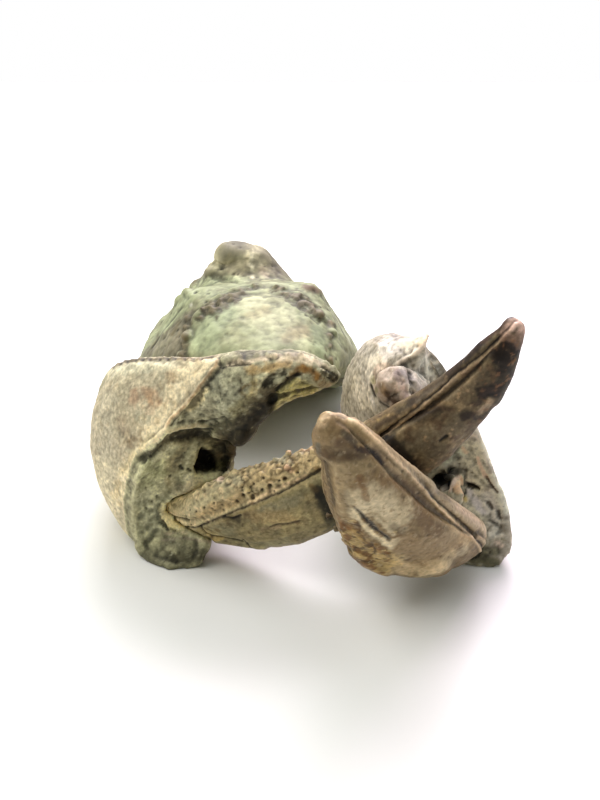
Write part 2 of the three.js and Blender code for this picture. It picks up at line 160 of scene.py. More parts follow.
def remeshed(node, voxel):
    """Points and four-sided faces of a CAD node, remeshed evenly. Millimetres."""
    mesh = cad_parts[node].data.copy()
    mesh.transform(((MM, 0, 0, 0), (0, MM, 0, 0), (0, 0, MM, 0), (0, 0, 0, 1)))
    work = bpy.data.objects.new("work", mesh)
    bpy.context.scene.collection.objects.link(work)
    change = work.modifiers.new("even", "REMESH")
    change.mode = "VOXEL"
    change.voxel_size = voxel
    even = work.evaluated_get(bpy.context.evaluated_depsgraph_get()).to_mesh()
    points = np.zeros(len(even.vertices) * 3, np.float32)
    even.vertices.foreach_get("co", points)
    corners = np.zeros(len(even.loops), np.int32)
    even.loops.foreach_get("vertex_index", corners)
    bpy.data.objects.remove(work)
    bpy.data.meshes.remove(mesh)
    return points.reshape(-1, 3), corners.reshape(-1, 4)


class Piece:
    """One visible piece: its points, and the height, tint and gloss at each of them."""

    def __init__(self, name, node, voxel, relax=16):
        self.name, self.node = name, node
        self.points, self.faces = remeshed(node, voxel)
        pairs = np.concatenate([self.faces[:, [i, (i + 1) % 4]] for i in range(4)])
        self.ends = np.concatenate([pairs, pairs[:, ::-1]])
        self.degree = np.bincount(self.ends[:, 0], minlength=len(self.points))[:, None]
        for i in range(relax):
            self.relax(SHRINK)
            self.relax(REGROW)
        self.settle()
        self.height = np.zeros(len(self.points), np.float32)
        self.tint = np.ones((len(self.points), 3), np.float32)
        self.gloss = np.zeros(len(self.points), np.float32)

    def settle(self):
        """Takes the points as they are now for the shape that everything else starts from."""
        self.base = self.points.copy()
        self.q = picture(self.points)
        self.normals = self.normals_now()
        to_eye = EYE - self.points
        to_eye /= np.linalg.norm(to_eye, axis=1)[:, None]
        self.facing = (self.normals * to_eye).sum(1)
        self.tree = BVHTree.FromPolygons(self.points.tolist(), self.faces.tolist())
        self.fray = rough(self.base, 0.9, 5, 3)

    def around(self, values):
        """The mean of each point's neighbours."""
        here, there = self.ends.T
        sums = [np.bincount(here, column[there], len(values)) for column in values.T]
        return np.stack(sums, 1) / self.degree

    def relax(self, share):
        """Moves the points by this share of the way to the mean of their neighbours."""
        self.points = self.points + share * (self.around(self.points) - self.points)

    def normals_now(self):
        a, b, c, d = (self.points[self.faces[:, i]] for i in range(4))
        flat = np.cross(c - a, d - b)
        sums = [
            sum(np.bincount(self.faces[:, i], column, len(self.points)) for i in range(4))
            for column in flat.T
        ]
        out = np.stack(sums, 1)
        return out / (np.linalg.norm(out, axis=1)[:, None] + 1e-12)

    def find(self, u, v):
        """The picture place with the depth of the surface there."""
        hit = self.tree.ray_cast(Vector(EYE.tolist()), ray_through(u, v))[0]
        if hit is not None:
            return picture(np.array([hit]))[0]
        off = (self.q[:, 0] - u) ** 2 + (self.q[:, 1] - v) ** 2 + 1e4 * (self.facing < -0.2)
        return np.array([u, v, self.q[np.argmin(off), 2]])

    def away(self, *places):
        """Distance, in picture points, of each point from a line through places on the surface."""
        line = np.array([self.find(u, v) for u, v in places])
        scale = np.array([1, 1, DEPTH_SHARE])
        q, line = self.q * scale, line * scale
        if len(line) == 1:
            return np.linalg.norm(q - line[0], axis=1)
        best = np.full(len(q), 1e9)
        for a, b in zip(line, line[1:]):
            ab = b - a
            t = np.clip((q - a) @ ab / (ab @ ab + 1e-9), 0, 1)
            best = np.minimum(best, np.linalg.norm(q - a - t[:, None] * ab, axis=1))
        return best

    def soften(self, steps, mask):
        """Evens out the shape where the mask is 1."""
        for i in range(steps):
            self.relax(0.8 * mask[:, None])
        self.settle()

    def near(self, width, *places, ragged=RAGGED):
        """1 along a line through places, falling to 0 at about this many picture points."""
        away = self.away(*places) + ragged * width * self.fray
        return 1 - smooth(0.3 * width, 1.1 * width, away)

    def below_top(self):
        """How far down the picture points lie from the piece's upper outline."""
        column = self.q[:, 0].astype(int) // 3
        column -= column.min()
        top = np.full(column.max() + 1, 1e9)
        np.minimum.at(top, column, self.q[:, 1])
        return self.q[:, 1] - top[column]

    def beside(self, *places):
        """How far points lie to the right of a line drawn in the picture, walking along it."""
        best = np.full(len(self.q), 1e9)
        side = best.copy()
        for a, b in zip(np.array(places[:-1], float), np.array(places[1:], float)):
            along = b - a
            t = np.clip((self.q[:, :2] - a) @ along / (along @ along), 0, 1)
            off = self.q[:, :2] - a - t[:, None] * along
            away = np.linalg.norm(off, axis=1)
            cross = along[0] * off[:, 1] - along[1] * off[:, 0]
            side = np.where(away < best, np.sign(cross) * away, side)
            best = np.minimum(best, away)
        return side

    def within(self, *corners, soft=1.5):
        """1 inside an outline drawn in the picture, on the side turned to the camera."""
        corners = np.array(corners, float)
        u, v = self.q[:, 0], self.q[:, 1]
        inside = np.zeros(len(self.q), bool)
        for a, b in zip(corners, np.roll(corners, -1, 0)):
            at = a[0] + (b[0] - a[0]) * (v - a[1]) / (b[1] - a[1] + 1e-9)
            inside ^= ((a[1] > v) != (b[1] > v)) & (u < at)
        edge = np.abs(self.beside(*corners, corners[0]))
        signed = np.where(inside, edge, -edge) + soft * self.fray
        return smooth(-soft, soft, signed) * smooth(-0.1, 0.2, self.facing)

    def lift(self, amount, mask=1.0):
        """Raises the surface by this many millimetres where the mask is 1."""
        self.height += amount * mask

    def lifts(self, rows):
        """Rows of: how far, width in picture points, raggedness, then the places along it."""
        for amount, width, ragged, *places in rows:
            self.lift(amount, self.near(width, *places, ragged=ragged))

    def carve(self, depth, width, *places):
        """A groove through places, this deep in millimetres and this wide in picture points."""
        away = self.away(*places) + 0.3 * width * self.fray
        self.height -= depth * np.exp(-((away / width) ** 2))

    def paint(self, colour, mask):
        """Lays a surface colour over the tint."""
        mask = np.clip(mask, 0, 1)[:, None]
        self.tint = self.tint * (1 - mask) + np.array(colour, np.float32) * mask

    def shade(self, factor, mask):
        """Makes the tint this many times lighter where the mask is 1."""
        self.tint = self.tint * (1 + (factor - 1) * np.clip(mask, 0, 1)[:, None])

    def stains_and_painted_light(self, light, rows, ragged=RAGGED):
        """Stain marks, and in places painted shade and highlights. Rows of: colour, strength,
        width in picture points, then the places along the mark.
        """
        for colour, strength, width, *places in rows:
            self.paint(seen(*colour, light), strength * self.near(width, *places, ragged=ragged))

    def light_shade_and_tone(self, rows):
        """Painted light and shade, with some corrections of tone. Rows of: how many times lighter,
        width in picture points, then the places along it.
        """
        for times, width, *places in rows:
            self.shade(times, self.near(width, *places, ragged=0.5))

    def cracks(self, rows, dark=0.35):
        """Rows of: depth in millimetres, width in picture points, then the places along it."""
        for depth, width, *places in rows:
            self.carve(depth, width, *places)
            self.shade(dark, self.near(width * 1.1, *places, ragged=0.3))

    def pits(self, depth, radius, *places):
        """Small dark holes."""
        for place in places:
            self.cracks([(depth, radius, place)], 0.3)

    def mottle(self, colour, size, seed, low, high, strength=1.0, mask=1.0):
        """Blotches of a colour wherever a layered noise of this size is high."""
        blot = smooth(low, high, rough(self.base, size, seed, 4, 0.55))
        self.paint(colour, strength * blot * mask)

    def mottles(self, light, rows):
        """Rows of: colour, size, seed, low, high, then perhaps a strength and a mask."""
        for colour, *rest in rows:
            self.mottle(seen(*colour, light), *rest)

    def grain(self, size, reach, seed, mask=1.0, dirt=0.2):
        """Packed granules, with darker gaps between them."""
        first, second = grains(self.base, size, seed)
        gap = 1 - smooth(0.03, 0.3, second - first)
        self.height += reach * mask * (0.5 - first)
        self.shade(1 - dirt, gap * mask)

    def pores(self, size, depth, seed, mask=1.0, dark=0.45):
        """Scattered dark pores of varying width."""
        first, _ = grains(self.base, size, seed)
        wide = np.clip(0.75 + 0.9 * noise(self.base, 2.5 * size, seed + 5), 0.15, 1.3)
        hole = (1 - smooth(0.1 * wide, 0.24 * wide, first)) * mask
        self.height -= depth * hole
        self.shade(dark, hole)

    def tone_by_relief(self, amount=0.35, steps=10, reach=0.035):
        """Darker in the hollows and paler on the peaks, by how far each point stands out of its
        surround.
        """
        moved = self.base + self.normals * self.height[:, None]
        level = moved.copy()
        for i in range(steps):
            level += 0.7 * (self.around(level) - level)
        stands = ((moved - level) * self.normals).sum(1)
        self.tint *= (1 + amount * np.clip(stands / reach, -1.6, 1))[:, None]

    def meet(self, other, reach=1.3, gap=0.04):
        """Grows the rim towards another piece that it touches, to a hair's breadth from it."""
        for i in np.flatnonzero(self.near_box(other, reach)):
            place, _, _, off = other.tree.find_nearest(Vector(self.base[i].tolist()), reach)
            if place is None:
                continue
            towards = np.array(place) - self.base[i]
            facing = towards @ self.normals[i] / (off + 1e-6)
            grow = (off - gap) * max(facing, 0) * (1 - smooth(0.5, 1.0, off / reach))
            if facing > 0.3:
                self.height[i] = max(self.height[i] * (1 - facing), grow)

    def near_box(self, other, reach):
        """Which points lie within reach of another piece's box."""
        low, high = other.base.min(0) - reach, other.base.max(0) + reach
        return ((self.base > low) & (self.base < high)).all(1)

    def finish(self, material):
        moved = self.base + self.normals * self.height[:, None]
        moved[:, 2] = np.maximum(moved[:, 2], 0)
        mesh = bpy.data.meshes.new(self.name)
        mesh.vertices.add(len(moved))
        mesh.vertices.foreach_set("co", (moved / MM).astype(np.float32).ravel())
        mesh.loops.add(self.faces.size)
        mesh.loops.foreach_set("vertex_index", self.faces.ravel())
        mesh.polygons.add(len(self.faces))
        mesh.polygons.foreach_set("loop_start", np.arange(0, self.faces.size, 4, dtype=np.int32))
        mesh.update(calc_edges=True)
        mesh.shade_smooth()
        layer = mesh.color_attributes.new(TINT, "FLOAT_COLOR", "POINT")
        tint = self.tint * np.minimum(1, BRIGHTEST / np.maximum(self.tint.max(1), 0.01))[:, None]
        rgba = np.concatenate([tint, self.gloss[:, None]], 1).astype(np.float32)
        layer.data.foreach_set("color", rgba.ravel())
        piece = bpy.data.objects.new(self.name, mesh)
        bpy.context.scene.collection.objects.link(piece)
        mesh.materials.append(material)
        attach(piece, "root")
        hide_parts(self.node)


WARMTH = (1, 0.98, 0.88)  # a last small correction that all seen colours share


def seen(r, g, b, light=(1, 1, 1)):
    """A surface colour from the colour that it shows, 0 to 255, under the scene's light."""
    c = np.array([r, g, b], float) / 255
    straight = np.where(c < 0.04045, c / 12.92, ((c + 0.055) / 1.055) ** 2.4)
    return straight / light * WARMTH


def node_of(tree, kind, **values):
    """A material node, with each value set as a property or else on the input of that name."""
    node = tree.nodes.new(kind)
    for name, value in values.items():
        if hasattr(node, name):
            setattr(node, name, value)
        else:
            node.inputs[name.replace("_", " ")].default_value = value
    return node


FINE = 2600.0  # scale of the finest grain, in lumps along a metre
FINE_DEPTH = 0.00008  # metres
GLOSSIEST = 0.3  # roughness where the gloss is 1


def fossil(name, roughness=0.62, speck=0.12, bump=0.25):
    """Stone that shows the tint layer, with fine specks and a fine relief."""
    material = bpy.data.materials.new(name)
    material.use_nodes = True
    tree = material.node_tree
    shader = tree.nodes["Principled BSDF"]
    link = tree.links.new
    place = tree.nodes.new("ShaderNodeTexCoord")
    tint = node_of(tree, "ShaderNodeVertexColor", layer_name=TINT)

    fine = node_of(tree, "ShaderNodeTexNoise", Scale=FINE, Detail=5.0, Roughness=0.65)
    link(place.outputs["Object"], fine.inputs["Vector"])
    ends = {"From_Min": 0.3, "From_Max": 0.7, "To_Min": 1 - speck, "To_Max": 1 + speck}
    value = node_of(tree, "ShaderNodeMapRange", **ends)
    link(fine.outputs["Fac"], value.inputs["Value"])
    shade = node_of(tree, "ShaderNodeMix", data_type="RGBA", blend_type="MULTIPLY")
    shade.inputs[0].default_value = 1.0
    link(tint.outputs["Color"], shade.inputs[6])
    link(value.outputs["Result"], shade.inputs[7])
    link(shade.outputs[2], shader.inputs["Base Color"])

    dull = node_of(tree, "ShaderNodeMapRange", To_Min=roughness, To_Max=GLOSSIEST)
    link(tint.outputs["Alpha"], dull.inputs["Value"])
    link(dull.outputs["Result"], shader.inputs["Roughness"])

    relief = node_of(tree, "ShaderNodeBump", Strength=bump, Distance=FINE_DEPTH)
    link(fine.outputs["Fac"], relief.inputs["Height"])
    link(relief.outputs["Normal"], shader.inputs["Normal"])
    shader.inputs["Specular IOR Level"].default_value = 0.22
    return material


# How brightly the scene lights each region, so that stains can be given as they are to look.
OUTER, FACE, FINGER = (1.01, 1.02, 0.93), (0.59, 0.57, 0.52), (0.83, 0.8, 0.75)
STRIP, FRONT, BLADE = (0.85, 0.86, 0.72), (0.85, 0.88, 0.96), (0.82, 0.87, 0.83)
SHIELD, INNER = (0.93, 0.94, 0.98), (0.95, 0.96, 1.0)
UPPER, MOUTH = (1.1, 1.1, 0.94), (0.39, 0.365, 0.32)
FIELD, FLANK = (1.7, 1.61, 1.76), (1.42, 1.36, 1.44)

# The pieces, each with the places, stain marks, painted shade and highlights that belong to it.

# The broken front rim of the left palm, from the table up to the crest.
LEFT_RIM = [
    (168, 573), (153, 567), (140, 558), (133, 550), (128, 540), (126, 525), (124, 512), (124, 497),
    (126, 482), (129, 470), (133, 460), (140, 452), (148, 447), (157, 442), (166, 430), (171, 421),
    (179, 413), (188, 404), (198, 391), (208, 378), (217, 366), (221, 350),
]
LIP = [
    (142, 451), (148, 447), (157, 441), (168, 432), (180, 428), (192, 426), (205, 426),
]
SPLIT = [
    (171, 420), (179, 412), (188, 403), (198, 390), (208, 377), (216, 367),
]
LEFT_PALM_STAINS = [
    ((198, 196, 168), 0.8, 20, (118, 366), (140, 362), (165, 360)),
    ((186, 180, 155), 0.6, 16, (108, 400), (105, 430), (106, 460)),
    ((212, 204, 170), 0.7, 20, (102, 470), (108, 500), (118, 525)),
    ((232, 219, 180), 0.85, 17, (204, 366), (186, 376), (176, 392), (166, 410), (150, 432)),
    ((226, 212, 165), 0.7, 12, (150, 438), (138, 456), (126, 476), (118, 500)),
    ((172, 146, 112), 0.8, 9, (150, 397), (157, 400)),
    ((176, 156, 128), 0.7, 9, (135, 397), (140, 392)),
    ((176, 152, 116), 0.6, 6, (170, 374), (171, 384)),
    ((156, 140, 110), 0.8, 8, (130, 444), (137, 440)),
    ((160, 160, 136), 0.6, 7, (139, 417), (147, 419)),
    ((166, 150, 122), 0.5, 8, (120, 422), (126, 430)),
    ((170, 160, 134), 0.5, 9, (122, 452), (117, 440)),
    ((150, 148, 118), 0.8, 5, (99, 392), (104, 380), (110, 366)),
]
LEFT_FACE_STAINS_AND_SHADE = [
    ((132, 131, 98), 0.8, 14, (145, 462), (150, 480), (160, 470)),
    ((150, 147, 120), 0.8, 13, (146, 500), (150, 520), (165, 505)),
    ((98, 90, 66), 0.8, 11, (185, 440), (178, 455), (172, 468)),
    # Painted shade just under the lip.
    ((92, 84, 60), 0.9, 6, (148, 455), (160, 449), (172, 441), (186, 436), (200, 436)),
    ((160, 154, 128), 0.6, 6, (188, 478), (196, 486), (182, 488)),
    ((118, 110, 84), 0.6, 8, (166, 492), (172, 480)),
    ((116, 104, 74), 0.8, 4, (167, 480), (169, 487)),
    ((122, 118, 92), 0.8, 14, (150, 545), (165, 552), (150, 560)),
    ((106, 102, 80), 0.8, 12, (172, 545), (190, 552), (206, 550)),
    ((84, 80, 60), 0.9, 9, (170, 556), (186, 560), (198, 556)),
    ((58, 55, 40), 0.8, 5, (171, 555), (175, 558)),
    ((150, 130, 90), 0.9, 4, (201, 567), (206, 565)),
    ((140, 124, 104), 0.7, 2.2, (166, 534), (182, 532), (205, 536)),
    ((132, 120, 102), 0.7, 2, (162, 540), (184, 538), (209, 542)),
    ((150, 138, 94), 0.85, 9, (165, 508), (168, 520), (178, 530)),
    ((168, 150, 104), 0.8, 5, (166, 514), (170, 523)),
    ((134, 122, 96), 0.7, 8, (178, 492), (190, 488), (198, 484)),
]
LEFT_FINGER_STAINS_AND_SHADE = [
    ((148, 146, 122), 0.8, 18, (215, 385), (235, 392), (225, 410)),
    ((134, 128, 104), 0.6, 9, (203, 403), (210, 410)),
    ((216, 200, 158), 0.9, 6, (190, 408), (197, 400), (203, 392)),
    ((96, 92, 76), 0.8, 6, (226, 356), (232, 362), (224, 366)),
    ((118, 112, 92), 0.8, 7, (245, 354), (262, 353), (240, 358)),
    ((80, 78, 72), 0.8, 4, (268, 353), (272, 355)),
    ((190, 172, 146), 0.85, 3.5, (228, 365), (247, 362), (262, 359), (280, 356)),
    ((164, 142, 102), 0.9, 7, (254, 369), (268, 368), (286, 364)),
    ((182, 165, 138), 0.8, 6, (280, 360), (298, 357), (310, 361)),
    ((190, 174, 150), 0.8, 4, (288, 353), (304, 355), (318, 362), (328, 370)),
    ((140, 126, 88), 0.8, 6, (255, 382), (253, 392)),
    ((112, 108, 88), 0.9, 7, (270, 378), (281, 372), (290, 369)),
    # Painted shade in the dark gap under the biting edge.
    ((78, 74, 54), 0.9, 6, (268, 385), (262, 393), (270, 391)),
    ((100, 86, 56), 0.9, 2.5, (241, 390), (245, 386), (252, 384), (259, 384)),
    ((104, 92, 62), 0.8, 3, (241, 393), (247, 397)),
    ((128, 120, 84), 0.7, 10, (236, 412), (250, 400)),
    # Painted shade on the finger's underside, which is also darker in its own colour.
    ((84, 78, 54), 0.85, 12, (206, 438), (222, 440), (234, 430)),
    ((92, 88, 62), 0.85, 8, (212, 428), (228, 424), (244, 416)),
    ((82, 76, 56), 0.8, 15, (224, 436), (240, 424), (252, 410)),
    ((52, 47, 33), 0.95, 9, (228, 447), (240, 436), (252, 424), (262, 410)),
    ((152, 144, 88), 0.95, 9, (282, 397), (292, 391), (304, 388)),
    ((176, 166, 112), 0.7, 5, (296, 384), (306, 390), (286, 402)),
    ((158, 142, 92), 0.8, 5, (276, 405), (286, 401), (300, 396), (314, 391)),
    ((114, 86, 46), 0.9, 5.5, (303, 368), (311, 371), (316, 377)),
    ((122, 98, 58), 0.8, 5, (300, 372), (292, 374)),
    ((128, 112, 88), 0.8, 6, (322, 384), (330, 386)),
    ((40, 34, 22), 0.95, 6, (324, 372), (331, 376), (335, 379)),
    ((214, 202, 168), 0.8, 1.8, (322, 368), (326, 370)),
    # Painted shadow in the dark gap under the biting edge.
    ((60, 52, 34), 0.85, 7, (276, 388), (268, 396), (260, 410)),
    ((40, 34, 20), 0.9, 3.5, (297, 374), (287, 381), (277, 390), (270, 404), (264, 412)),
]


def left_palm(dactyl):
    p = Piece("left_palm_shell", "left_palm", 0.19)
    fold = p.near(15, (196, 420), (215, 422), (238, 417), (254, 406), ragged=0)
    p.soften(160, fold * smooth(0, 0.3, p.facing))
    p.soften(30, smooth(7, 3, p.below_top()) * smooth(222, 206, p.q[:, 0]))
    past = p.beside(*LEFT_RIM) + 1.0 * p.fray
    face = smooth(-1.0, 1.0, past)
    top = smooth(432, 420, p.q[:, 1])
    outer = 1 - face
    p.tint[:] = seen(178, 170, 142, OUTER)
    p.mottles(OUTER, [
        ((206, 196, 164), 5, 11, -0.1, 0.6, 0.7),
        ((156, 144, 116), 3.5, 12, 0.1, 0.6, 0.45),
    ])
    p.lift(0.10, rough(p.base, 3.2, 13))
    p.stains_and_painted_light(OUTER, LEFT_PALM_STAINS)
    cream = p.near(24, (204, 366), (180, 386), (164, 412), (146, 440), (128, 474),
        (118, 505)) * outer
    p.mottles(OUTER, [
        ((186, 164, 122), 1.0, 14, 0.0, 0.6, 0.5, cream),
        ((246, 236, 200), 1.1, 15, 0.0, 0.6, 0.55, cream),
    ])

    p.paint(seen(136, 132, 104, FACE), face)
    p.mottle(seen(114, 108, 82, FACE), 2.4, 16, 0.0, 0.6, 0.45, face)
    p.stains_and_painted_light(FACE, LEFT_FACE_STAINS_AND_SHADE)
    p.paint(seen(136, 132, 108, FINGER), face * top * 0.9)
    p.stains_and_painted_light(FINGER, LEFT_FINGER_STAINS_AND_SHADE)
    hole = p.within((203, 448), (209, 451), (215, 456), (218, 463), (214, 471), (198, 473),
        (195, 467), (199, 456))
    p.lift(-1.4, hole)
    # Painted shade: the hole itself is painted near black; the dark round it is partly the rock's
    # own dark colour and partly painted shade.
    p.paint(seen(56, 50, 36, FACE), 0.9 * p.within((198, 453), (242, 446), (242, 470), (214, 471),
        (197, 468), soft=3))
    p.paint(seen(30, 27, 19, FACE), 0.7 * p.within((206, 452), (242, 450), (240, 460),
        (212, 460), soft=2))
    p.paint(seen(54, 52, 36, FACE), 0.9 * p.within((212, 461), (236, 459), (236, 468), (226, 472),
        (210, 472)))
    p.lift(-0.4, p.within((210, 458), (234, 456), (234, 470), (228, 474), (208, 474)))
    p.paint(seen(6, 6, 4), hole)

    split = p.near(13, *SPLIT, ragged=0.1)
    p.lift(0.12, split * band(past, -1.5, 1.8))
    p.lift(-0.2, split * smooth(0, 2.5, past))
    p.paint(seen(150, 120, 84, OUTER), 0.8 * split * band(past, -1, 1.7))
    # Painted shade on the outer side of the split's ridge.
    p.shade(0.75, split * band(past, -4, 1.6))
    p.paint(seen(92, 82, 60, FINGER), 0.6 * split * band(past, 2.2, 1.3))
    p.stains_and_painted_light(FINGER, [((212, 196, 150), 0.9, 5, (190, 409), (196, 401), (204, 392))])
    p.lifts([(0.2, 6, 0.15, *LIP[1:])])
    under = [(u + 1, v + 8) for u, v in LIP]
    p.lifts([(-0.5, 9, 0.15, *under)])
    # Painted shade under the lip.
    p.shade(0.6, p.near(8, *under))
    p.stains_and_painted_light(FINGER, [((146, 132, 102), 0.8, 3.2, (168, 431), (178, 428), (192, 425), (206, 425))])
    edge = p.near(22, *LEFT_RIM[:11], ragged=0.1)
    p.lift(-0.12, edge * smooth(0, 3, past))
    p.paint(seen(206, 196, 160, OUTER), 0.3 * edge * band(past, -1, 1.3))
    p.paint(seen(112, 108, 84, FACE), 0.6 * edge * smooth(0, 1.5, past) * smooth(9, 4, past))

    p.cracks([
        (0.18, 1.6, (163, 521), (165, 525), (167, 530)),
        (0.14, 1.2, (160, 523), (164, 527)),
        (0.2, 2.4, (180, 467), (182, 469)),
        (0.12, 1.6, (188, 469), (191, 471)),
        (0.1, 1.2, (222, 367), (236, 365), (250, 364)),
        (0.12, 1.2, (322, 367), (330, 372), (336, 378)),
        (0.12, 1.0, (326, 376), (333, 381)),
    ])
    p.pits(0.16, 1.3, (185, 498), (157, 497), (152, 502), (212, 430), (229, 364), (146, 508),
        (170, 476))
    p.pits(0.1, 1.0, (146, 488), (160, 512), (175, 494), (196, 490), (190, 505), (248, 405),
        (222, 400))
    p.lifts([
        (0.35, 5, 0.4, (224, 360), (232, 357), (240, 358)),
        (0.2, 4, 0.4, (268, 354), (274, 356)),
        (-0.3, 6, 0.4, (266, 384), (272, 378), (284, 374)),
        (-0.35, 5, 0.4, (299, 375), (288, 382), (278, 391), (271, 402)),
    ])
    bite = p.within((274, 400), (278, 389), (290, 380), (299, 379), (309, 385), (320, 389),
        (314, 394), (293, 403), (279, 410), (270, 412))
    p.lift(-0.2, bite)
    p.paint(seen(158, 148, 92, FINGER), 0.8 * bite)
    p.mottle(seen(196, 184, 130, FINGER), 0.9, 26, 0.1, 0.5, 0.7, bite)
    # Painted shadow in the gap under the biting edge.
    p.stains_and_painted_light(FINGER, [((48, 40, 24), 0.8, 2.2, (299, 374), (289, 380), (279, 389), (271, 402))])
    ridge = [(u, p.q[np.abs(p.q[:, 0] - u) < 1.5, 1].min() + 1.5) for u in range(114, 212, 8)]
    crest = smooth(5, 2.5, p.below_top()) * p.near(5, *ridge, ragged=0.2)
    broken = smooth(0.3, 0.7, np.abs(np.sin(p.base[:, 0] * 1.1)))
    p.lift(0.12 * crest, np.sin(p.base[:, 0] * 6.5) * broken)
    p.paint(seen(84, 70, 48, OUTER), 0.75 * crest)
    rocky = face * (1 - p.near(9, (228, 365), (255, 360), (290, 356), (320, 364)))
    p.mottles(OUTER, [
        ((148, 132, 98), 0.55, 27, 0.3, 0.8, 0.4, outer),
        ((214, 204, 172), 0.5, 28, 0.3, 0.8, 0.4, outer),
    ])
    p.grain(0.45, 0.03, 21, outer * 0.5 + 0.5, 0.08)
    p.grain(0.9, 0.1, 22, bite + 0.4 * rocky * top, 0.2)
    p.pores(0.9, 0.08, 23, 0.5 * face, 0.6)
    p.lift(0.07, rough(p.base, 0.9, 24, 3) * (0.3 + rocky * (0.5 + 0.6 * top)))
    p.mottle(seen(60, 54, 40, FACE), 0.7, 25, 0.45, 0.9, 0.4, rocky * (1 - top))
    p.mottles(FINGER, [
        ((84, 78, 58), 0.6, 29, 0.3, 0.8, 0.5, rocky * top),
        ((176, 168, 138), 0.6, 30, 0.4, 0.9, 0.4, rocky * top),
    ])
    p.mottles(FACE, [
        ((78, 74, 56), 0.35, 89, 0.35, 0.8, 0.45, face * (1 - top)),
        ((172, 168, 140), 0.4, 90, 0.4, 0.9, 0.4, face * (1 - top)),
    ])
    p.mottles(FINGER, [
        ((66, 60, 46), 0.35, 86, 0.3, 0.7, 0.55, rocky * top),
        ((178, 172, 146), 0.35, 85, 0.35, 0.8, 0.5, rocky * top),
    ])
    p.gloss += 0.8 * p.near(7, (326, 372), (333, 378))
    # Painted shade on the finger's lower inner edge, which is also darker in its own colour.
    lobe = p.near(15, (226, 444), (240, 434), (252, 420), (262, 406), (268, 392), ragged=0.6)
    lobe = np.maximum(lobe, p.near(9, (232, 452), (246, 441), (258, 427), (268, 412),
        (274, 400), ragged=0.3))
    p.paint(seen(58, 51, 36, FINGER), 0.8 * lobe)
    p.mottle(seen(36, 31, 21, FINGER), 0.9, 87, 0, 0.6, 0.7, lobe)
    # Painted light and shade, with some corrections of tone: darker under the lip and on the
    # finger's lower edge, lighter in places the lamps leave too dark.
    p.light_shade_and_tone([
        (1.35, 13, (160, 432), (178, 424), (194, 418)),
        (1.5, 8, (148, 450), (158, 443), (168, 438)),
        (0.6, 6, (184, 442), (200, 442)),
        (0.55, 6, (206, 466), (214, 468), (228, 464)),
        (1.35, 7, (166, 508), (175, 499), (190, 491), (205, 486)),
        (0.6, 6, (138, 548), (150, 562), (168, 570)),
        (1.8, 9, (168, 460), (170, 466)),
        (2.2, 7, (219, 448), (222, 458), (219, 468)),
        (1.7, 6, (198, 480), (214, 477)),
        (1.3, 18, (158, 482), (166, 505)),
        (0.5, 14, (144, 556), (165, 563), (185, 563), (200, 557)),
        (0.75, 9, (166, 536), (186, 546)),
        (0.55, 4, (126, 361), (150, 360), (176, 360)),
        (0.6, 5, (198, 358), (214, 356)),
        (0.7, 5, (226, 369), (242, 366)),
        (0.7, 6, (276, 352), (298, 354)),
        (0.6, 8, (212, 376), (216, 388)),
        (0.75, 7, (244, 354), (268, 350), (296, 354)),
        (1.9, 7, (268, 376), (263, 387), (252, 397)),
        (0.35, 9, (270, 402), (260, 417), (248, 431), (237, 444)),
        (0.7, 8, (214, 428), (230, 424)),
        (1.2, 10, (182, 416), (190, 410), (200, 402)),
        (0.75, 7, (108, 366), (128, 364)),
        (1.5, 8, (226, 358), (234, 366)),
        (1.3, 8, (256, 378), (270, 376), (286, 372)),
        (1.25, 12, (154, 490), (156, 510), (152, 540)),
        (1.3, 10, (150, 452), (164, 446), (180, 444)),
        (1.25, 10, (172, 478), (190, 482)),
        (1.9, 4, (165, 508), (168, 503), (180, 496), (196, 488), (212, 480)),
        (1.8, 4, (165, 508), (168, 516), (176, 524), (190, 529)),
        (0.8, 5, (212, 455), (216, 448), (224, 452)),
        (1.5, 9, (184, 476), (200, 480), (214, 484)),
        (1.4, 8, (152, 530), (158, 522)),
        (0.68, 9, (243, 356), (256, 356)),
        (0.75, 9, (254, 369), (270, 368), (288, 366)),
        (0.78, 7, (132, 440), (130, 448)),
        (1.6, 5, (220, 464), (226, 466)),
        (1.25, 12, (160, 488), (174, 500)),
    ])
    p.stains_and_painted_light(FACE, [
        ((152, 149, 122), 0.45, 16, (158, 488), (172, 498), (152, 526)),
        ((176, 164, 128), 0.6, 5, (163, 510), (168, 503), (182, 494), (198, 486)),
        ((156, 142, 104), 0.6, 5, (164, 512), (169, 519), (180, 527), (192, 530)),
    ])
    p.stains_and_painted_light(FINGER, [
        ((132, 94, 48), 0.6, 5, (298, 367), (309, 370), (318, 376)),
        ((152, 124, 78), 0.5, 6, (248, 370), (268, 368), (290, 364)),
    ], ragged=0.9)
    p.mottle(seen(96, 62, 28, FINGER), 0.7, 88, 0.2, 0.6, 0.6, p.near(7, (292, 368), (309, 371),
        (320, 378)))
    p.stains_and_painted_light(FINGER, [((64, 54, 38), 0.7, 2.4, (238, 376), (242, 384), (239, 392))], ragged=0.6)
    p.stains_and_painted_light(FINGER, [((60, 54, 40), 0.6, 3, (226, 352), (234, 350), (240, 352))], ragged=0.8)
    p.stains_and_painted_light(OUTER, [
        ((164, 128, 96), 0.35, 11, (148, 396), (158, 400), (152, 406)),
        ((158, 118, 90), 0.35, 7, (136, 394), (132, 402)),
    ], ragged=0.8)
    p.lifts([
        (0.3, 7, 0.2, (164, 512), (168, 504), (182, 495), (200, 486)),
        (0.25, 6, 0.2, (166, 516), (172, 523), (184, 529)),
        (0.4, 7, 0.1, (231, 444), (232, 456), (231, 467)),
        (0.45, 9, 0.1, (241, 437), (237, 444)),
        (0.3, 9, 0.1, (205, 542), (204, 554), (200, 566)),
        (0.3, 9, 0.05, (138, 550), (150, 564), (170, 571)),
    ])
    p.meet(dactyl)
    p.tone_by_relief(0.45)
    p.finish(fossil("left_palm_stone", speck=0.38, bump=0.35))


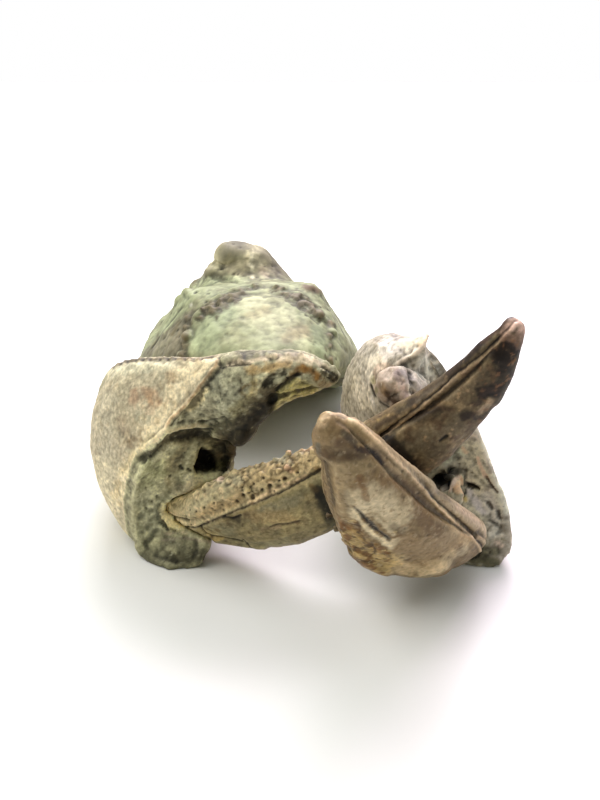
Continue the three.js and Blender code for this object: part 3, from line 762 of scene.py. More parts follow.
LEFT_GROOVE = [
    (200, 528), (208, 524), (223, 518), (238, 511), (265, 500), (290, 488), (318, 473), (345, 458),
    (375, 444), (386, 435), (402, 422), (420, 408), (437, 394), (454, 379), (468, 368), (483, 357),
    (492, 348), (502, 338), (515, 325),
]
LEFT_STRIP_STAINS = [
    ((158, 150, 112), 0.8, 16, (190, 512), (215, 495), (240, 485)),
    ((172, 148, 100), 0.7, 8, (200, 515), (222, 505), (240, 497)),
    ((170, 150, 104), 0.7, 12, (245, 482), (275, 470), (310, 458)),
    ((164, 158, 124), 0.7, 6, (205, 480), (222, 481), (240, 480)),
    ((216, 190, 164), 0.8, 4, (215, 477), (222, 479)),
    ((182, 160, 120), 0.8, 3, (250, 502), (275, 490), (305, 476)),
    ((150, 148, 122), 0.7, 6, (278, 458), (290, 462)),
    ((186, 150, 116), 0.7, 4, (286, 467), (290, 470)),
    ((156, 142, 96), 0.8, 5, (247, 489), (249, 492)),
]
LEFT_DACTYL_STAINS_AND_SHADOW = [
    ((124, 120, 98), 0.9, 9, (206, 522), (216, 527), (228, 532)),
    ((134, 130, 104), 0.8, 9, (220, 543), (250, 547), (285, 543)),
    ((108, 104, 82), 0.8, 10, (270, 505), (300, 492), (318, 482)),
    ((128, 124, 104), 0.6, 7, (262, 512), (300, 498)),
    ((124, 108, 80), 0.75, 7, (248, 514), (268, 518), (290, 520)),
    ((134, 118, 88), 0.6, 4, (252, 522), (266, 512), (284, 514)),
    ((90, 80, 62), 0.85, 2.2, (274, 526), (288, 524), (299, 522)),
    ((118, 104, 84), 0.7, 3, (262, 529), (280, 527)),
    ((62, 56, 40), 0.85, 5, (226, 518), (238, 520)),
    ((98, 84, 60), 0.8, 3, (216, 530), (219, 531)),
    ((160, 140, 92), 0.7, 3, (203, 531), (212, 537), (222, 538)),
    # Painted shadow along the right dactyl's edge.
    ((70, 68, 48), 0.85, 10, (322, 490), (328, 508), (334, 524)),
    ((46, 46, 32), 0.8, 5, (318, 494), (326, 500), (331, 515)),
    ((130, 110, 76), 0.7, 4, (312, 486), (316, 490)),
]
BLADE_STAINS_AND_SHADE = [
    ((88, 74, 50), 0.9, 10, (374, 424), (400, 408), (425, 392)),
    ((118, 102, 64), 0.8, 4, (380, 420), (392, 415)),
    ((114, 100, 64), 0.7, 4, (398, 407), (406, 404)),
    ((58, 46, 32), 0.8, 4, (376, 428), (386, 420), (396, 417)),
    ((76, 64, 50), 0.8, 6, (410, 404), (430, 390), (446, 377)),
    ((104, 96, 82), 0.7, 4, (418, 402), (438, 386), (455, 379)),
    ((60, 48, 40), 0.9, 5, (448, 374), (464, 360), (480, 344)),
    ((48, 36, 30), 0.95, 6, (476, 347), (492, 331), (510, 321)),
    ((118, 100, 78), 0.8, 3, (485, 342), (489, 346)),
    ((96, 80, 66), 0.7, 3, (492, 330), (500, 334)),
    ((88, 86, 96), 0.7, 2, (491, 328), (494, 327)),
    ((84, 74, 56), 0.9, 16, (420, 420), (450, 398), (475, 380)),
    ((92, 84, 66), 0.7, 9, (440, 410), (465, 388), (480, 372)),
    ((88, 82, 66), 0.9, 14, (410, 445), (435, 435), (455, 425)),
    ((54, 42, 30), 0.85, 5, (410, 418), (425, 412), (440, 407), (452, 409)),
    ((60, 48, 34), 0.8, 4, (432, 420), (440, 424), (446, 416)),
    ((96, 80, 54), 0.6, 4, (430, 408), (440, 402), (450, 404)),
    ((58, 44, 34), 0.95, 9, (497, 352), (508, 343), (516, 350)),
    ((48, 36, 28), 0.9, 6, (494, 354), (500, 360), (512, 358)),
    ((98, 80, 56), 0.75, 5, (490, 368), (494, 374), (492, 382)),
    ((62, 48, 36), 0.8, 5, (500, 372), (505, 366), (508, 356)),
    ((42, 34, 28), 0.95, 5, (480, 397), (488, 392), (498, 394)),
    ((140, 124, 98), 0.95, 5, (484, 410), (489, 405), (492, 401)),
    ((48, 39, 30), 0.9, 5, (464, 418), (472, 414), (477, 419)),
    ((70, 57, 44), 0.8, 4, (474, 404), (480, 402)),
    ((66, 57, 50), 0.7, 4, (453, 440), (459, 437)),
    ((186, 166, 158), 0.85, 3.4, (515, 322), (519, 320)),
    ((124, 108, 90), 0.85, 5, (520, 326), (523, 333), (521, 342)),
    # Painted shade where the blade passes under the right dactyl.
    ((58, 51, 36), 0.95, 9, (386, 444), (398, 456), (412, 468)),
    ((38, 33, 24), 0.9, 6, (386, 439), (399, 451), (413, 465)),
    ((86, 80, 62), 0.7, 8, (432, 455), (444, 450)),
]


def left_dactyl():
    p = Piece("left_dactyl_shell", "left_dactyl", 0.14)
    p.soften(24, p.near(9, (514, 322), (523, 326), ragged=0))
    p.soften(24, p.near(8, (523, 340), (520, 360), (510, 388), (494, 410), (478, 430), ragged=0))
    strip_foot = [(u, v - 8) for u, v in LEFT_GROOVE[:8]]
    p.soften(40, p.near(13, *strip_foot, ragged=0))
    over = -p.beside(*LEFT_GROOVE) + 0.8 * p.fray
    blade = smooth(345, 385, p.q[:, 0])
    tip = smooth(470, 490, p.q[:, 0])
    strip = smooth(-1, 1.5, over)
    p.tint[:] = seen(122, 114, 88, FRONT)
    p.mottles(FRONT, [
        ((150, 138, 104), 3, 31, -0.1, 0.6, 0.7),
        ((78, 68, 48), 2.2, 32, 0.25, 0.8, 0.6),
    ])
    p.paint(seen(158, 146, 106, STRIP), strip * (1 - blade))
    p.paint(seen(92, 82, 62, BLADE), blade * 0.9)
    p.stains_and_painted_light(STRIP, LEFT_STRIP_STAINS)
    p.stains_and_painted_light(FRONT, LEFT_DACTYL_STAINS_AND_SHADOW)
    p.stains_and_painted_light(BLADE, BLADE_STAINS_AND_SHADE)
    p.mottles(BLADE, [
        ((64, 50, 36), 1.6, 33, 0.2, 0.7, 0.7, blade),
        ((132, 118, 90), 1.2, 34, 0.3, 0.9, 0.5, blade * (1 - tip)),
        ((44, 34, 26), 0.9, 45, 0.25, 0.7, 0.7, blade * (0.4 + 0.6 * tip)),
        ((150, 128, 98), 0.6, 46, 0.5, 0.9, 0.5, blade),
    ])
    p.lift(0.05, rough(p.base, 2.2, 35))
    groove = p.near(8, *LEFT_GROOVE, ragged=0.1)
    p.lift(-0.16, groove * band(over, 1.5, 1.6) * (1 - blade))
    p.lift(-0.12, groove * band(over, 2.8, 1.4) * blade)
    p.lift(0.12, groove * band(over, -0.4, 1.8) * blade)
    p.paint(seen(52, 44, 28, FRONT), 0.9 * groove * band(over, 0.8, 1.3) * (1 - blade))
    # Painted shade: darker below the groove line near the tip, and above that line over the
    # blade's far half.
    light = 1 - 0.65 * tip * smooth(0, -3, over) - 0.5 * smooth(440, 470, p.q[:, 0]) * smooth(1, 3,
        over)
    p.tint *= light[:, None]
    p.paint(seen(40, 30, 22, BLADE), 0.85 * groove * band(over, 2.6, 1.2) * blade)
    worn = 0.3 + 0.7 * smooth(-0.4, 0.3, noise(p.base, 1.3, 48))
    p.paint(seen(160, 140, 116, BLADE), 0.6 * worn * groove * band(over, -0.2, 0.9) * blade)
    p.stains_and_painted_light(BLADE, [((176, 152, 138), 0.8, 5, (504, 333), (513, 325))])
    p.cracks([
        (0.2, 1.3, (180, 523), (185, 527), (192, 528), (201, 527)),
        (0.26, 1.4, (201, 529), (206, 534), (212, 536), (223, 537.5), (242, 542)),
        (0.2, 1.3, (243, 540), (250, 545), (258, 549)),
        (0.2, 1.6, (222, 517), (232, 519), (240, 516)),
        (0.16, 1.6, (440, 441), (444, 438), (447, 436)),
    ])
    p.cracks([(0.08, 1.0, (270, 527), (279, 524), (288, 524), (300, 521))], 0.7)
    rows = (1 - blade) * strip
    knobby = rows * smooth(228, 246, p.q[:, 0])
    knobs = [(241, 484), (246, 478), (257, 466), (272, 456), (288, 452), (300, 454), (312, 451),
        (287, 468), (279, 471), (248, 490), (262, 474), (228, 481)]
    p.lift(0.26, rows * sum(p.near(3, place, ragged=0.6) for place in knobs))
    p.lift(0.09, knobby * noise(p.base, 0.9, 41))
    p.lift(0.05, knobby * noise(p.base, 0.45, 42))
    for place, wide in [
        ((243, 496), 2.2), ((249, 493), 1.6), ((253, 497), 2.4), ((262, 490), 1.8), ((270, 486),
            2.2),
        ((279, 481), 1.6), ((285, 479), 2.3), ((237, 501), 1.5), ((274, 491), 1.2), ((298, 473),
            1.5),
        ((264, 478), 1.2), ((282, 463), 1.6), ((254, 484), 1.3), ((196, 512), 1.2), ((204, 508),
            1.5),
        ((214, 503), 1.1), ((186, 517), 1.4), ((190, 510), 1.0), ((291, 465), 1.2),
    ]:
        p.pits(0.14 * wide, wide, place)
    p.paint(seen(196, 160, 124, STRIP), 0.5 * rows * p.near(3, (272, 454), (290, 451), (312, 449)))
    p.mottles(STRIP, [
        ((96, 78, 44), 0.9, 43, 0.15, 0.6, 0.7, knobby),
        ((196, 176, 130), 0.8, 44, 0.2, 0.6, 0.6, rows),
    ])
    p.grain(0.5, 0.04, 36, rows, 0.12)
    p.pores(0.9, 0.08, 37, 0.5 * rows + 0.3)
    p.grain(0.35, 0.03, 38, 1 - rows, 0.1)
    p.lift(0.045, rough(p.base, 0.7, 39, 3) * (0.4 + rows))
    p.mottles(FRONT, [
        ((70, 58, 38), 0.8, 40, 0.35, 0.75, 0.6, 1 - blade),
        ((168, 156, 122), 0.6, 47, 0.35, 0.85, 0.4, 1 - blade),
    ])
    p.lifts([
        (0.2, 18, 0, (516, 322), (524, 336)),
        (0.35, 9, 0.1, (218, 541), (240, 546), (262, 548)),
    ])
    # Painted light and shade, with some corrections of tone: darker along the right dactyl's edge
    # and where the blade passes under it.
    p.light_shade_and_tone([
        (0.45, 9, (316, 488), (322, 500), (330, 514)),
        (0.6, 6, (318, 490), (322, 508)),
        (1.35, 8, (262, 524), (285, 520), (306, 520)),
        (0.75, 7, (242, 503), (246, 516), (236, 522)),
        (0.6, 7, (396, 409), (412, 398), (432, 385), (450, 372), (466, 358)),
        (1.5, 6, (396, 430), (412, 417), (428, 406)),
        (1.25, 7, (440, 397), (456, 385), (474, 369), (488, 356), (499, 345)),
        (1.25, 16, (420, 430), (444, 412), (468, 392), (482, 372)),
        (1.3, 7, *strip_foot),
        (1.7, 4, (168, 507), (180, 499), (196, 491), (212, 483)),
        (1.6, 4, (168, 512), (174, 519), (184, 524)),
        (0.4, 7, (412, 419), (424, 416), (438, 412)),
        (0.3, 9, (391, 440), (402, 453), (414, 467)),
        (0.6, 5, (442, 438), (448, 441)),
        (1.25, 14, (262, 518), (290, 518), (312, 524)),
        (1.3, 8, (208, 534), (220, 532)),
        (1.4, 15, (436, 432), (456, 438)),
        (0.35, 7, (482, 394), (494, 389)),
        (0.55, 4, (480, 343), (494, 328), (506, 319)),
        (0.6, 8, (500, 352), (506, 366), (502, 384)),
        (0.55, 8, (474, 398), (486, 390), (498, 386)),
        (0.6, 6, (466, 414), (474, 418)),
    ])
    p.lifts([(-0.22, 14, 0, (490, 414), (477, 430), (463, 448))])
    # Painted light and shade, with some corrections of tone.
    p.light_shade_and_tone([
        (1.7, 8, (488, 368), (490, 380)),
        (0.68, 7, (400, 411), (412, 402)),
        (1.25, 9, (456, 372), (466, 366)),
        (1.4, 6, (507, 333), (512, 328)),
    ])
    p.stains_and_painted_light(BLADE, [((188, 164, 152), 0.75, 7, (510, 328), (518, 323), (520, 330))], ragged=0.5)
    p.stains_and_painted_light(BLADE, [((120, 100, 84), 0.7, 6, (502, 338), (516, 336), (521, 346))], ragged=0.6)
    p.stains_and_painted_light(BLADE, [((146, 132, 106), 0.85, 5.5, (482, 413), (486, 407), (489, 402))], ragged=0.7)
    p.stains_and_painted_light(BLADE, [((44, 35, 28), 0.9, 4, (478, 396), (487, 391), (497, 391))], ragged=0.8)
    p.paint(seen(116, 104, 74, FRONT), 0.5 * groove * band(over, -3, 2) * (1 - blade))
    p.mottle(seen(112, 82, 56, BLADE), 0.7, 49, 0.2, 0.6, 0.6, tip * smooth(0, -4, over))
    p.stains_and_painted_light(BLADE, [((52, 38, 28), 0.8, 4, (484, 341), (494, 331), (506, 322))], ragged=0.6)
    # Painted light and shade, with some corrections of tone.
    p.light_shade_and_tone([
        (0.65, 8, (521, 338), (520, 352)),
        (1.8, 4, (495, 338), (500, 334)),
    ])
    p.tone_by_relief(0.42)
    p.finish(fossil("left_dactyl_stone", roughness=0.55, speck=0.28))
    return p


RIGHT_CREST = [
    (332, 408), (343, 414), (360, 427), (380, 445), (393, 458), (407, 471), (427, 493), (452, 518),
    (470, 534), (480, 546), (484, 556),
]
RIGHT_DACTYL_STAINS = [
    ((126, 108, 80), 0.9, 30, (345, 480), (380, 510), (420, 545)),
    ((156, 142, 114), 0.8, 12, (372, 500), (388, 508), (400, 514)),
    ((176, 163, 138), 0.85, 8, (376, 508), (386, 512), (396, 520)),
    ((178, 156, 130), 0.85, 7, (322, 424), (328, 411), (341, 410)),
    ((122, 102, 80), 0.7, 8, (334, 424), (346, 430), (338, 440)),
    ((98, 78, 50), 0.85, 8, (322, 452), (336, 458), (352, 456)),
    ((78, 62, 38), 0.8, 4.5, (326, 459), (342, 453), (356, 461)),
    ((68, 61, 52), 0.85, 5, (344, 432), (349, 437), (355, 442)),
    ((90, 86, 76), 0.85, 4, (318, 444), (319, 456)),
    ((46, 36, 34), 0.95, 4, (358, 449), (364, 450), (370, 453)),
    ((42, 33, 34), 0.97, 4.5, (374, 448), (377, 454), (382, 462)),
    ((128, 110, 80), 0.6, 6, (384, 452), (388, 462)),
    ((136, 120, 90), 0.7, 12, (336, 470), (350, 468), (366, 466)),
    ((108, 88, 62), 0.6, 7, (336, 486), (344, 496), (350, 506)),
    ((112, 90, 60), 0.8, 4, (360, 477), (364, 481)),
    ((98, 76, 48), 0.85, 4, (363, 490), (367, 494)),
    ((106, 86, 56), 0.6, 8, (388, 480), (397, 490), (402, 500)),
    ((114, 96, 64), 0.5, 7, (376, 474), (384, 482)),
    ((176, 163, 138), 0.8, 4, (353, 510), (362, 524), (374, 537)),
    ((196, 184, 158), 0.95, 4.5, (382, 540), (390, 546), (394, 541)),
    ((186, 174, 150), 0.8, 3, (372, 514), (384, 525), (393, 534)),
    ((92, 86, 78), 0.9, 2.2, (355, 507), (362, 514)),
    ((62, 58, 56), 0.97, 4, (363, 517), (369, 522), (374, 527)),
    ((84, 80, 76), 0.92, 3, (374, 528), (381, 533), (389, 539)),
    ((100, 78, 44), 0.85, 6, (345, 524), (352, 531), (360, 534)),
    ((128, 98, 54), 0.9, 4, (368, 544), (373, 549), (376, 545)),
    ((112, 84, 50), 0.85, 3.4, (391, 525), (397, 528)),
    ((112, 88, 56), 0.75, 4, (392, 534), (400, 540)),
    ((134, 116, 78), 0.75, 5, (352, 542), (362, 551), (368, 558)),
    ((170, 152, 118), 0.8, 7, (376, 558), (390, 562), (402, 556)),
    ((58, 46, 30), 0.9, 3.4, (340, 530), (346, 540), (354, 552), (362, 562)),
    ((112, 98, 78), 0.75, 7, (404, 548), (414, 556), (400, 566)),
    ((108, 88, 64), 0.75, 11, (415, 515), (430, 526), (440, 535)),
    ((98, 78, 52), 0.6, 6, (432, 524), (438, 530)),
    ((52, 42, 34), 0.9, 1.6, (409, 520), (411, 518)),
    ((160, 148, 126), 0.85, 9, (425, 571), (445, 561), (464, 550)),
    ((154, 140, 116), 0.7, 7, (400, 572), (420, 574)),
    ((128, 114, 92), 0.6, 8, (420, 548), (440, 545)),
    ((112, 92, 70), 0.7, 6, (396, 480), (412, 496), (424, 508)),
    ((148, 128, 104), 0.6, 6, (372, 446), (384, 458), (398, 474)),
]


def right_dactyl():
    p = Piece("right_dactyl_shell", "right_dactyl", 0.13)
    over = -p.beside(*RIGHT_CREST) + 0.5 * p.fray
    inner = smooth(-1, 1, over)
    low = smooth(470, 500, p.q[:, 1])
    p.tint[:] = seen(124, 106, 80, SHIELD)
    p.stains_and_painted_light(SHIELD, RIGHT_DACTYL_STAINS[:3])
    p.mottles(SHIELD, [
        ((160, 146, 120), 4, 51, 0, 0.7, 0.6),
        ((98, 78, 54), 2.6, 52, 0.1, 0.7, 0.6),
    ])
    p.stains_and_painted_light(SHIELD, RIGHT_DACTYL_STAINS[3:])
    p.paint(seen(150, 134, 112, INNER), inner)
    p.stains_and_painted_light(INNER, [
        ((148, 126, 100), 0.8, 6, (344, 410), (362, 422), (378, 436)),
        ((168, 148, 130), 0.85, 6, (458, 507), (470, 516), (480, 524)),
        ((184, 168, 150), 0.85, 6, (484, 528), (490, 542)),
        ((122, 106, 84), 0.8, 5, (436, 492), (448, 500)),
    ])
    p.lift(0.05, rough(p.base, 2.5, 53))
    line = p.near(10, *RIGHT_CREST, ragged=0.1)
    p.lift(0.13, line * band(over, -1.5, 1.8))
    p.lift(-0.3, line * band(over, 2.6, 2) * (0.3 + 0.7 * low))
    p.paint(seen(196, 174, 150, SHIELD), 0.75 * line * band(over, -1.2, 1.2))
    p.paint(seen(64, 52, 38, SHIELD), 0.9 * line * band(over, 2.4, 1.5) * (0.25 + 0.75 * low))
    p.shade(0.88, line * band(over, -4.5, 1.6))
    p.cracks([
        (0.12, 1.5, (357, 511), (364, 518), (371, 525), (380, 533), (387, 538)),
        (0.05, 0.8, (404, 498), (418, 494), (424, 488)),
        (0.06, 1.0, (372, 543), (376, 552), (370, 556)),
    ], 0.6)
    p.lift(-0.07, p.within((342, 520), (360, 526), (366, 542), (378, 548), (376, 556), (356, 552),
        (344, 534)))
    ragged = p.near(5, (338, 526), (344, 540), (352, 552), (362, 564))
    p.lift(-0.16, ragged * smooth(-0.1, 0.3, noise(p.base, 1.0, 54)))
    p.grain(0.4, 0.03, 55, 1.0, 0.06)
    p.pores(1.3, 0.06, 56, 0.6, 0.6)
    p.lift(0.02, rough(p.base, 0.6, 57, 3))
    p.mottles(SHIELD, [
        ((92, 72, 48), 0.8, 58, 0.35, 0.8, 0.5),
        ((168, 154, 128), 1.0, 59, 0.35, 0.8, 0.4),
    ])
    patch = p.within((340, 516), (364, 520), (374, 536), (402, 520), (404, 542), (380, 568),
        (352, 556), (338, 532), soft=3)
    p.mottles(SHIELD, [
        ((88, 64, 36), 0.9, 60, 0.1, 0.5, 0.8, patch),
        ((190, 170, 122), 0.8, 61, 0.3, 0.7, 0.7, patch),
    ])
    # Painted light and shade, with some corrections of tone: darker along the left edge.
    p.light_shade_and_tone([
        (1.3, 10, (340, 484), (346, 505), (354, 524)),
        (1.6, 10, (384, 560), (408, 566), (430, 564), (450, 556)),
        (0.8, 9, (436, 522), (444, 528)),
        (1.4, 8, (428, 504), (440, 512), (458, 530), (468, 544)),
        (0.8, 6, (360, 450), (376, 455)),
        (1.6, 6, (348, 422), (362, 435), (374, 446)),
        (1.3, 6, (376, 430), (392, 446), (410, 465)),
        (0.45, 5, (321, 466), (325, 486), (331, 506)),
        (1.5, 6, (350, 544), (360, 552)),
    ])
    p.stains_and_painted_light(SHIELD, [
        ((182, 167, 140), 0.75, 15, (370, 498), (384, 506), (394, 516)),
        ((184, 170, 146), 0.8, 8, (384, 500), (392, 508), (390, 518)),
        ((150, 132, 100), 0.6, 9, (342, 486), (350, 496), (348, 510)),
        ((112, 84, 52), 0.6, 5, (358, 482), (362, 490), (366, 500)),
        ((104, 76, 44), 0.6, 4, (340, 520), (350, 530), (358, 538)),
        ((92, 62, 28), 0.7, 4, (352, 528), (360, 534), (366, 546)),
        ((176, 150, 96), 0.7, 4, (368, 556), (376, 562), (386, 558)),
        ((126, 84, 40), 0.6, 3.5, (372, 548), (380, 552)),
        ((112, 88, 62), 0.55, 8, (402, 486), (416, 500), (430, 514)),
        ((108, 82, 54), 0.5, 6, (386, 476), (398, 488)),
        ((208, 196, 172), 0.9, 4.5, (384, 541), (391, 547), (396, 541)),
        ((194, 182, 158), 0.75, 3, (376, 516), (386, 526), (394, 535)),
        ((58, 54, 52), 0.85, 3, (362, 515), (369, 522), (376, 529)),
        ((76, 60, 46), 0.55, 9, (338, 444), (352, 450), (364, 454)),
        ((48, 38, 38), 0.9, 3.6, (366, 448), (373, 452), (381, 462)),
        ((60, 48, 42), 0.8, 3, (355, 447), (362, 450)),
        ((70, 60, 52), 0.7, 4, (342, 432), (350, 438)),
        ((88, 68, 40), 0.6, 5, (322, 456), (338, 460), (352, 456)),
        ((150, 130, 104), 0.6, 18, (404, 546), (430, 552), (456, 536)),
        ((170, 152, 124), 0.7, 9, (396, 567), (425, 568), (452, 556)),
        ((150, 134, 108), 0.55, 14, (338, 470), (344, 490), (348, 506)),
        ((190, 177, 152), 0.8, 20, (362, 500), (376, 500), (390, 506), (398, 518)),
        ((204, 192, 168), 0.7, 10, (356, 512), (372, 504), (388, 510)),
        ((112, 86, 56), 0.7, 4, (360, 478), (363, 487), (367, 499)),
        ((120, 96, 66), 0.5, 5, (380, 478), (386, 486)),
        ((172, 148, 98), 0.75, 15, (350, 538), (364, 552), (384, 562)),
        ((58, 54, 52), 0.85, 3, (362, 515), (369, 522), (376, 529)),
        ((84, 78, 72), 0.8, 2.2, (354, 507), (361, 513)),
        ((206, 194, 168), 0.85, 3.4, (356, 516), (366, 528), (378, 538), (390, 546)),
    ])
    warm = p.within((338, 518), (356, 522), (366, 538), (380, 544), (394, 558), (386, 570),
        (360, 562), (344, 542), soft=3)
    p.mottles(SHIELD, [
        ((104, 70, 34), 1.3, 62, 0.0, 0.35, 0.85, warm),
        ((58, 42, 24), 0.8, 64, 0.25, 0.6, 0.8, warm),
        ((118, 92, 60), 0.55, 65, 0.4, 0.75, 0.6, p.near(22, (362, 500), (398, 516))),
        ((96, 76, 52), 0.45, 66, 0.45, 0.85, 0.5),
        ((186, 170, 144), 0.5, 67, 0.4, 0.85, 0.4),
    ])
    # Painted light and shade, with some corrections of tone.
    p.light_shade_and_tone([
        (0.62, 6, (394, 527), (402, 531)),
        (0.72, 10, (330, 454), (342, 456), (352, 456)),
        (0.78, 8, (344, 496), (347, 506)),
        (1.4, 3, (372, 532), (384, 540), (390, 546)),
        (1.3, 10, (398, 566), (420, 568), (436, 564)),
        (0.7, 8, (345, 414), (358, 424)),
        (1.3, 5, (348, 527), (352, 532)),
        (1.25, 9, (452, 548), (464, 540)),
    ])
    p.stains_and_painted_light(SHIELD, [((112, 90, 62), 0.5, 11, (428, 514), (438, 524))])
    p.lifts([
        (0.4, 14, 0, (360, 420), (382, 438), (400, 455), (416, 471), (428, 484)),
        (-0.6, 18, 0, (319, 470), (323, 500), (332, 528)),
        (0.5, 16, 0, (356, 556), (376, 569), (392, 574), (418, 574), (440, 567)),
        (0.3, 14, 0, (368, 564), (382, 571)),
    ])
    p.tone_by_relief(0.35)
    p.finish(fossil("right_dactyl_stone", roughness=0.5, speck=0.18, bump=0.2))
    return p


LIP_CREST = [
    (431, 329), (430, 338), (424, 347), (414, 356), (404, 361), (397, 366),
]
RIGHT_PALM_STAINS_AND_GLINTS = [
    ((172, 164, 140), 0.8, 18, (352, 372), (350, 395), (354, 412)),
    ((150, 142, 118), 0.6, 8, (346, 400), (352, 384)),
    ((206, 198, 176), 0.8, 12, (366, 346), (372, 356), (362, 362)),
    ((238, 230, 214), 0.8, 10, (384, 342), (398, 346), (386, 352)),
    ((132, 126, 118), 0.85, 4, (386, 332), (394, 334), (397, 340)),
    ((246, 234, 202), 0.9, 9, (404, 342), (416, 338), (424, 336)),
    ((232, 204, 156), 0.9, 4, (420, 346), (427, 338), (429, 332)),
    ((240, 222, 196), 0.8, 3, (428, 330), (428, 340), (420, 350), (410, 358), (400, 363)),
    ((122, 116, 98), 0.9, 6, (404, 366), (410, 364), (414, 360)),
    ((96, 88, 72), 0.8, 3, (410, 360), (413, 366)),
    ((202, 202, 184), 0.85, 9, (424, 362), (432, 372), (420, 376)),
    ((190, 186, 168), 0.7, 7, (414, 384), (428, 382)),
    ((170, 160, 150), 0.8, 4, (404, 388), (408, 378), (404, 372)),
    # Painted glints.
    ((214, 208, 194), 0.7, 3, (373, 405), (376, 410), (372, 398)),
    ((166, 158, 134), 0.7, 8, (366, 405), (376, 412)),
]
RIGHT_MOUTH_STAINS_AND_SHADE = [
    ((112, 106, 90), 0.9, 12, (472, 450), (474, 464), (484, 478)),
    ((134, 132, 114), 0.8, 6, (446, 460), (454, 456), (462, 452)),
    ((204, 178, 146), 0.7, 3, (463, 448), (466, 452)),
    ((176, 170, 152), 0.9, 14, (488, 440), (498, 470), (506, 505)),
    ((214, 186, 158), 0.85, 2.4, (478, 458), (481, 468), (486, 476)),
    ((104, 88, 72), 0.8, 2, (487, 477), (492, 486), (497, 492)),
    ((132, 126, 116), 0.85, 10, (488, 498), (494, 515), (496, 530)),
    ((98, 92, 84), 0.7, 4, (489, 504), (498, 512), (492, 524)),
    ((150, 142, 138), 0.8, 6, (470, 492), (474, 500), (482, 510)),
    ((206, 170, 134), 0.95, 6, (458, 480), (456, 488), (462, 494)),
    ((222, 196, 176), 0.8, 3, (450, 490), (454, 482), (457, 477)),
    ((196, 176, 112), 0.7, 2, (464, 496), (466, 500)),
    ((66, 62, 46), 0.95, 8, (470, 556), (484, 558), (496, 564)),
    ((96, 90, 70), 0.8, 6, (478, 548), (494, 552)),
    ((150, 132, 118), 0.7, 4, (496, 542), (501, 545)),
    # Painted shade: the holes are painted near black.
    ((12, 11, 8), 0.98, 7, (438, 480), (445, 476), (450, 471)),
    ((16, 14, 10), 0.98, 4, (468, 485), (474, 486), (478, 488)),
]


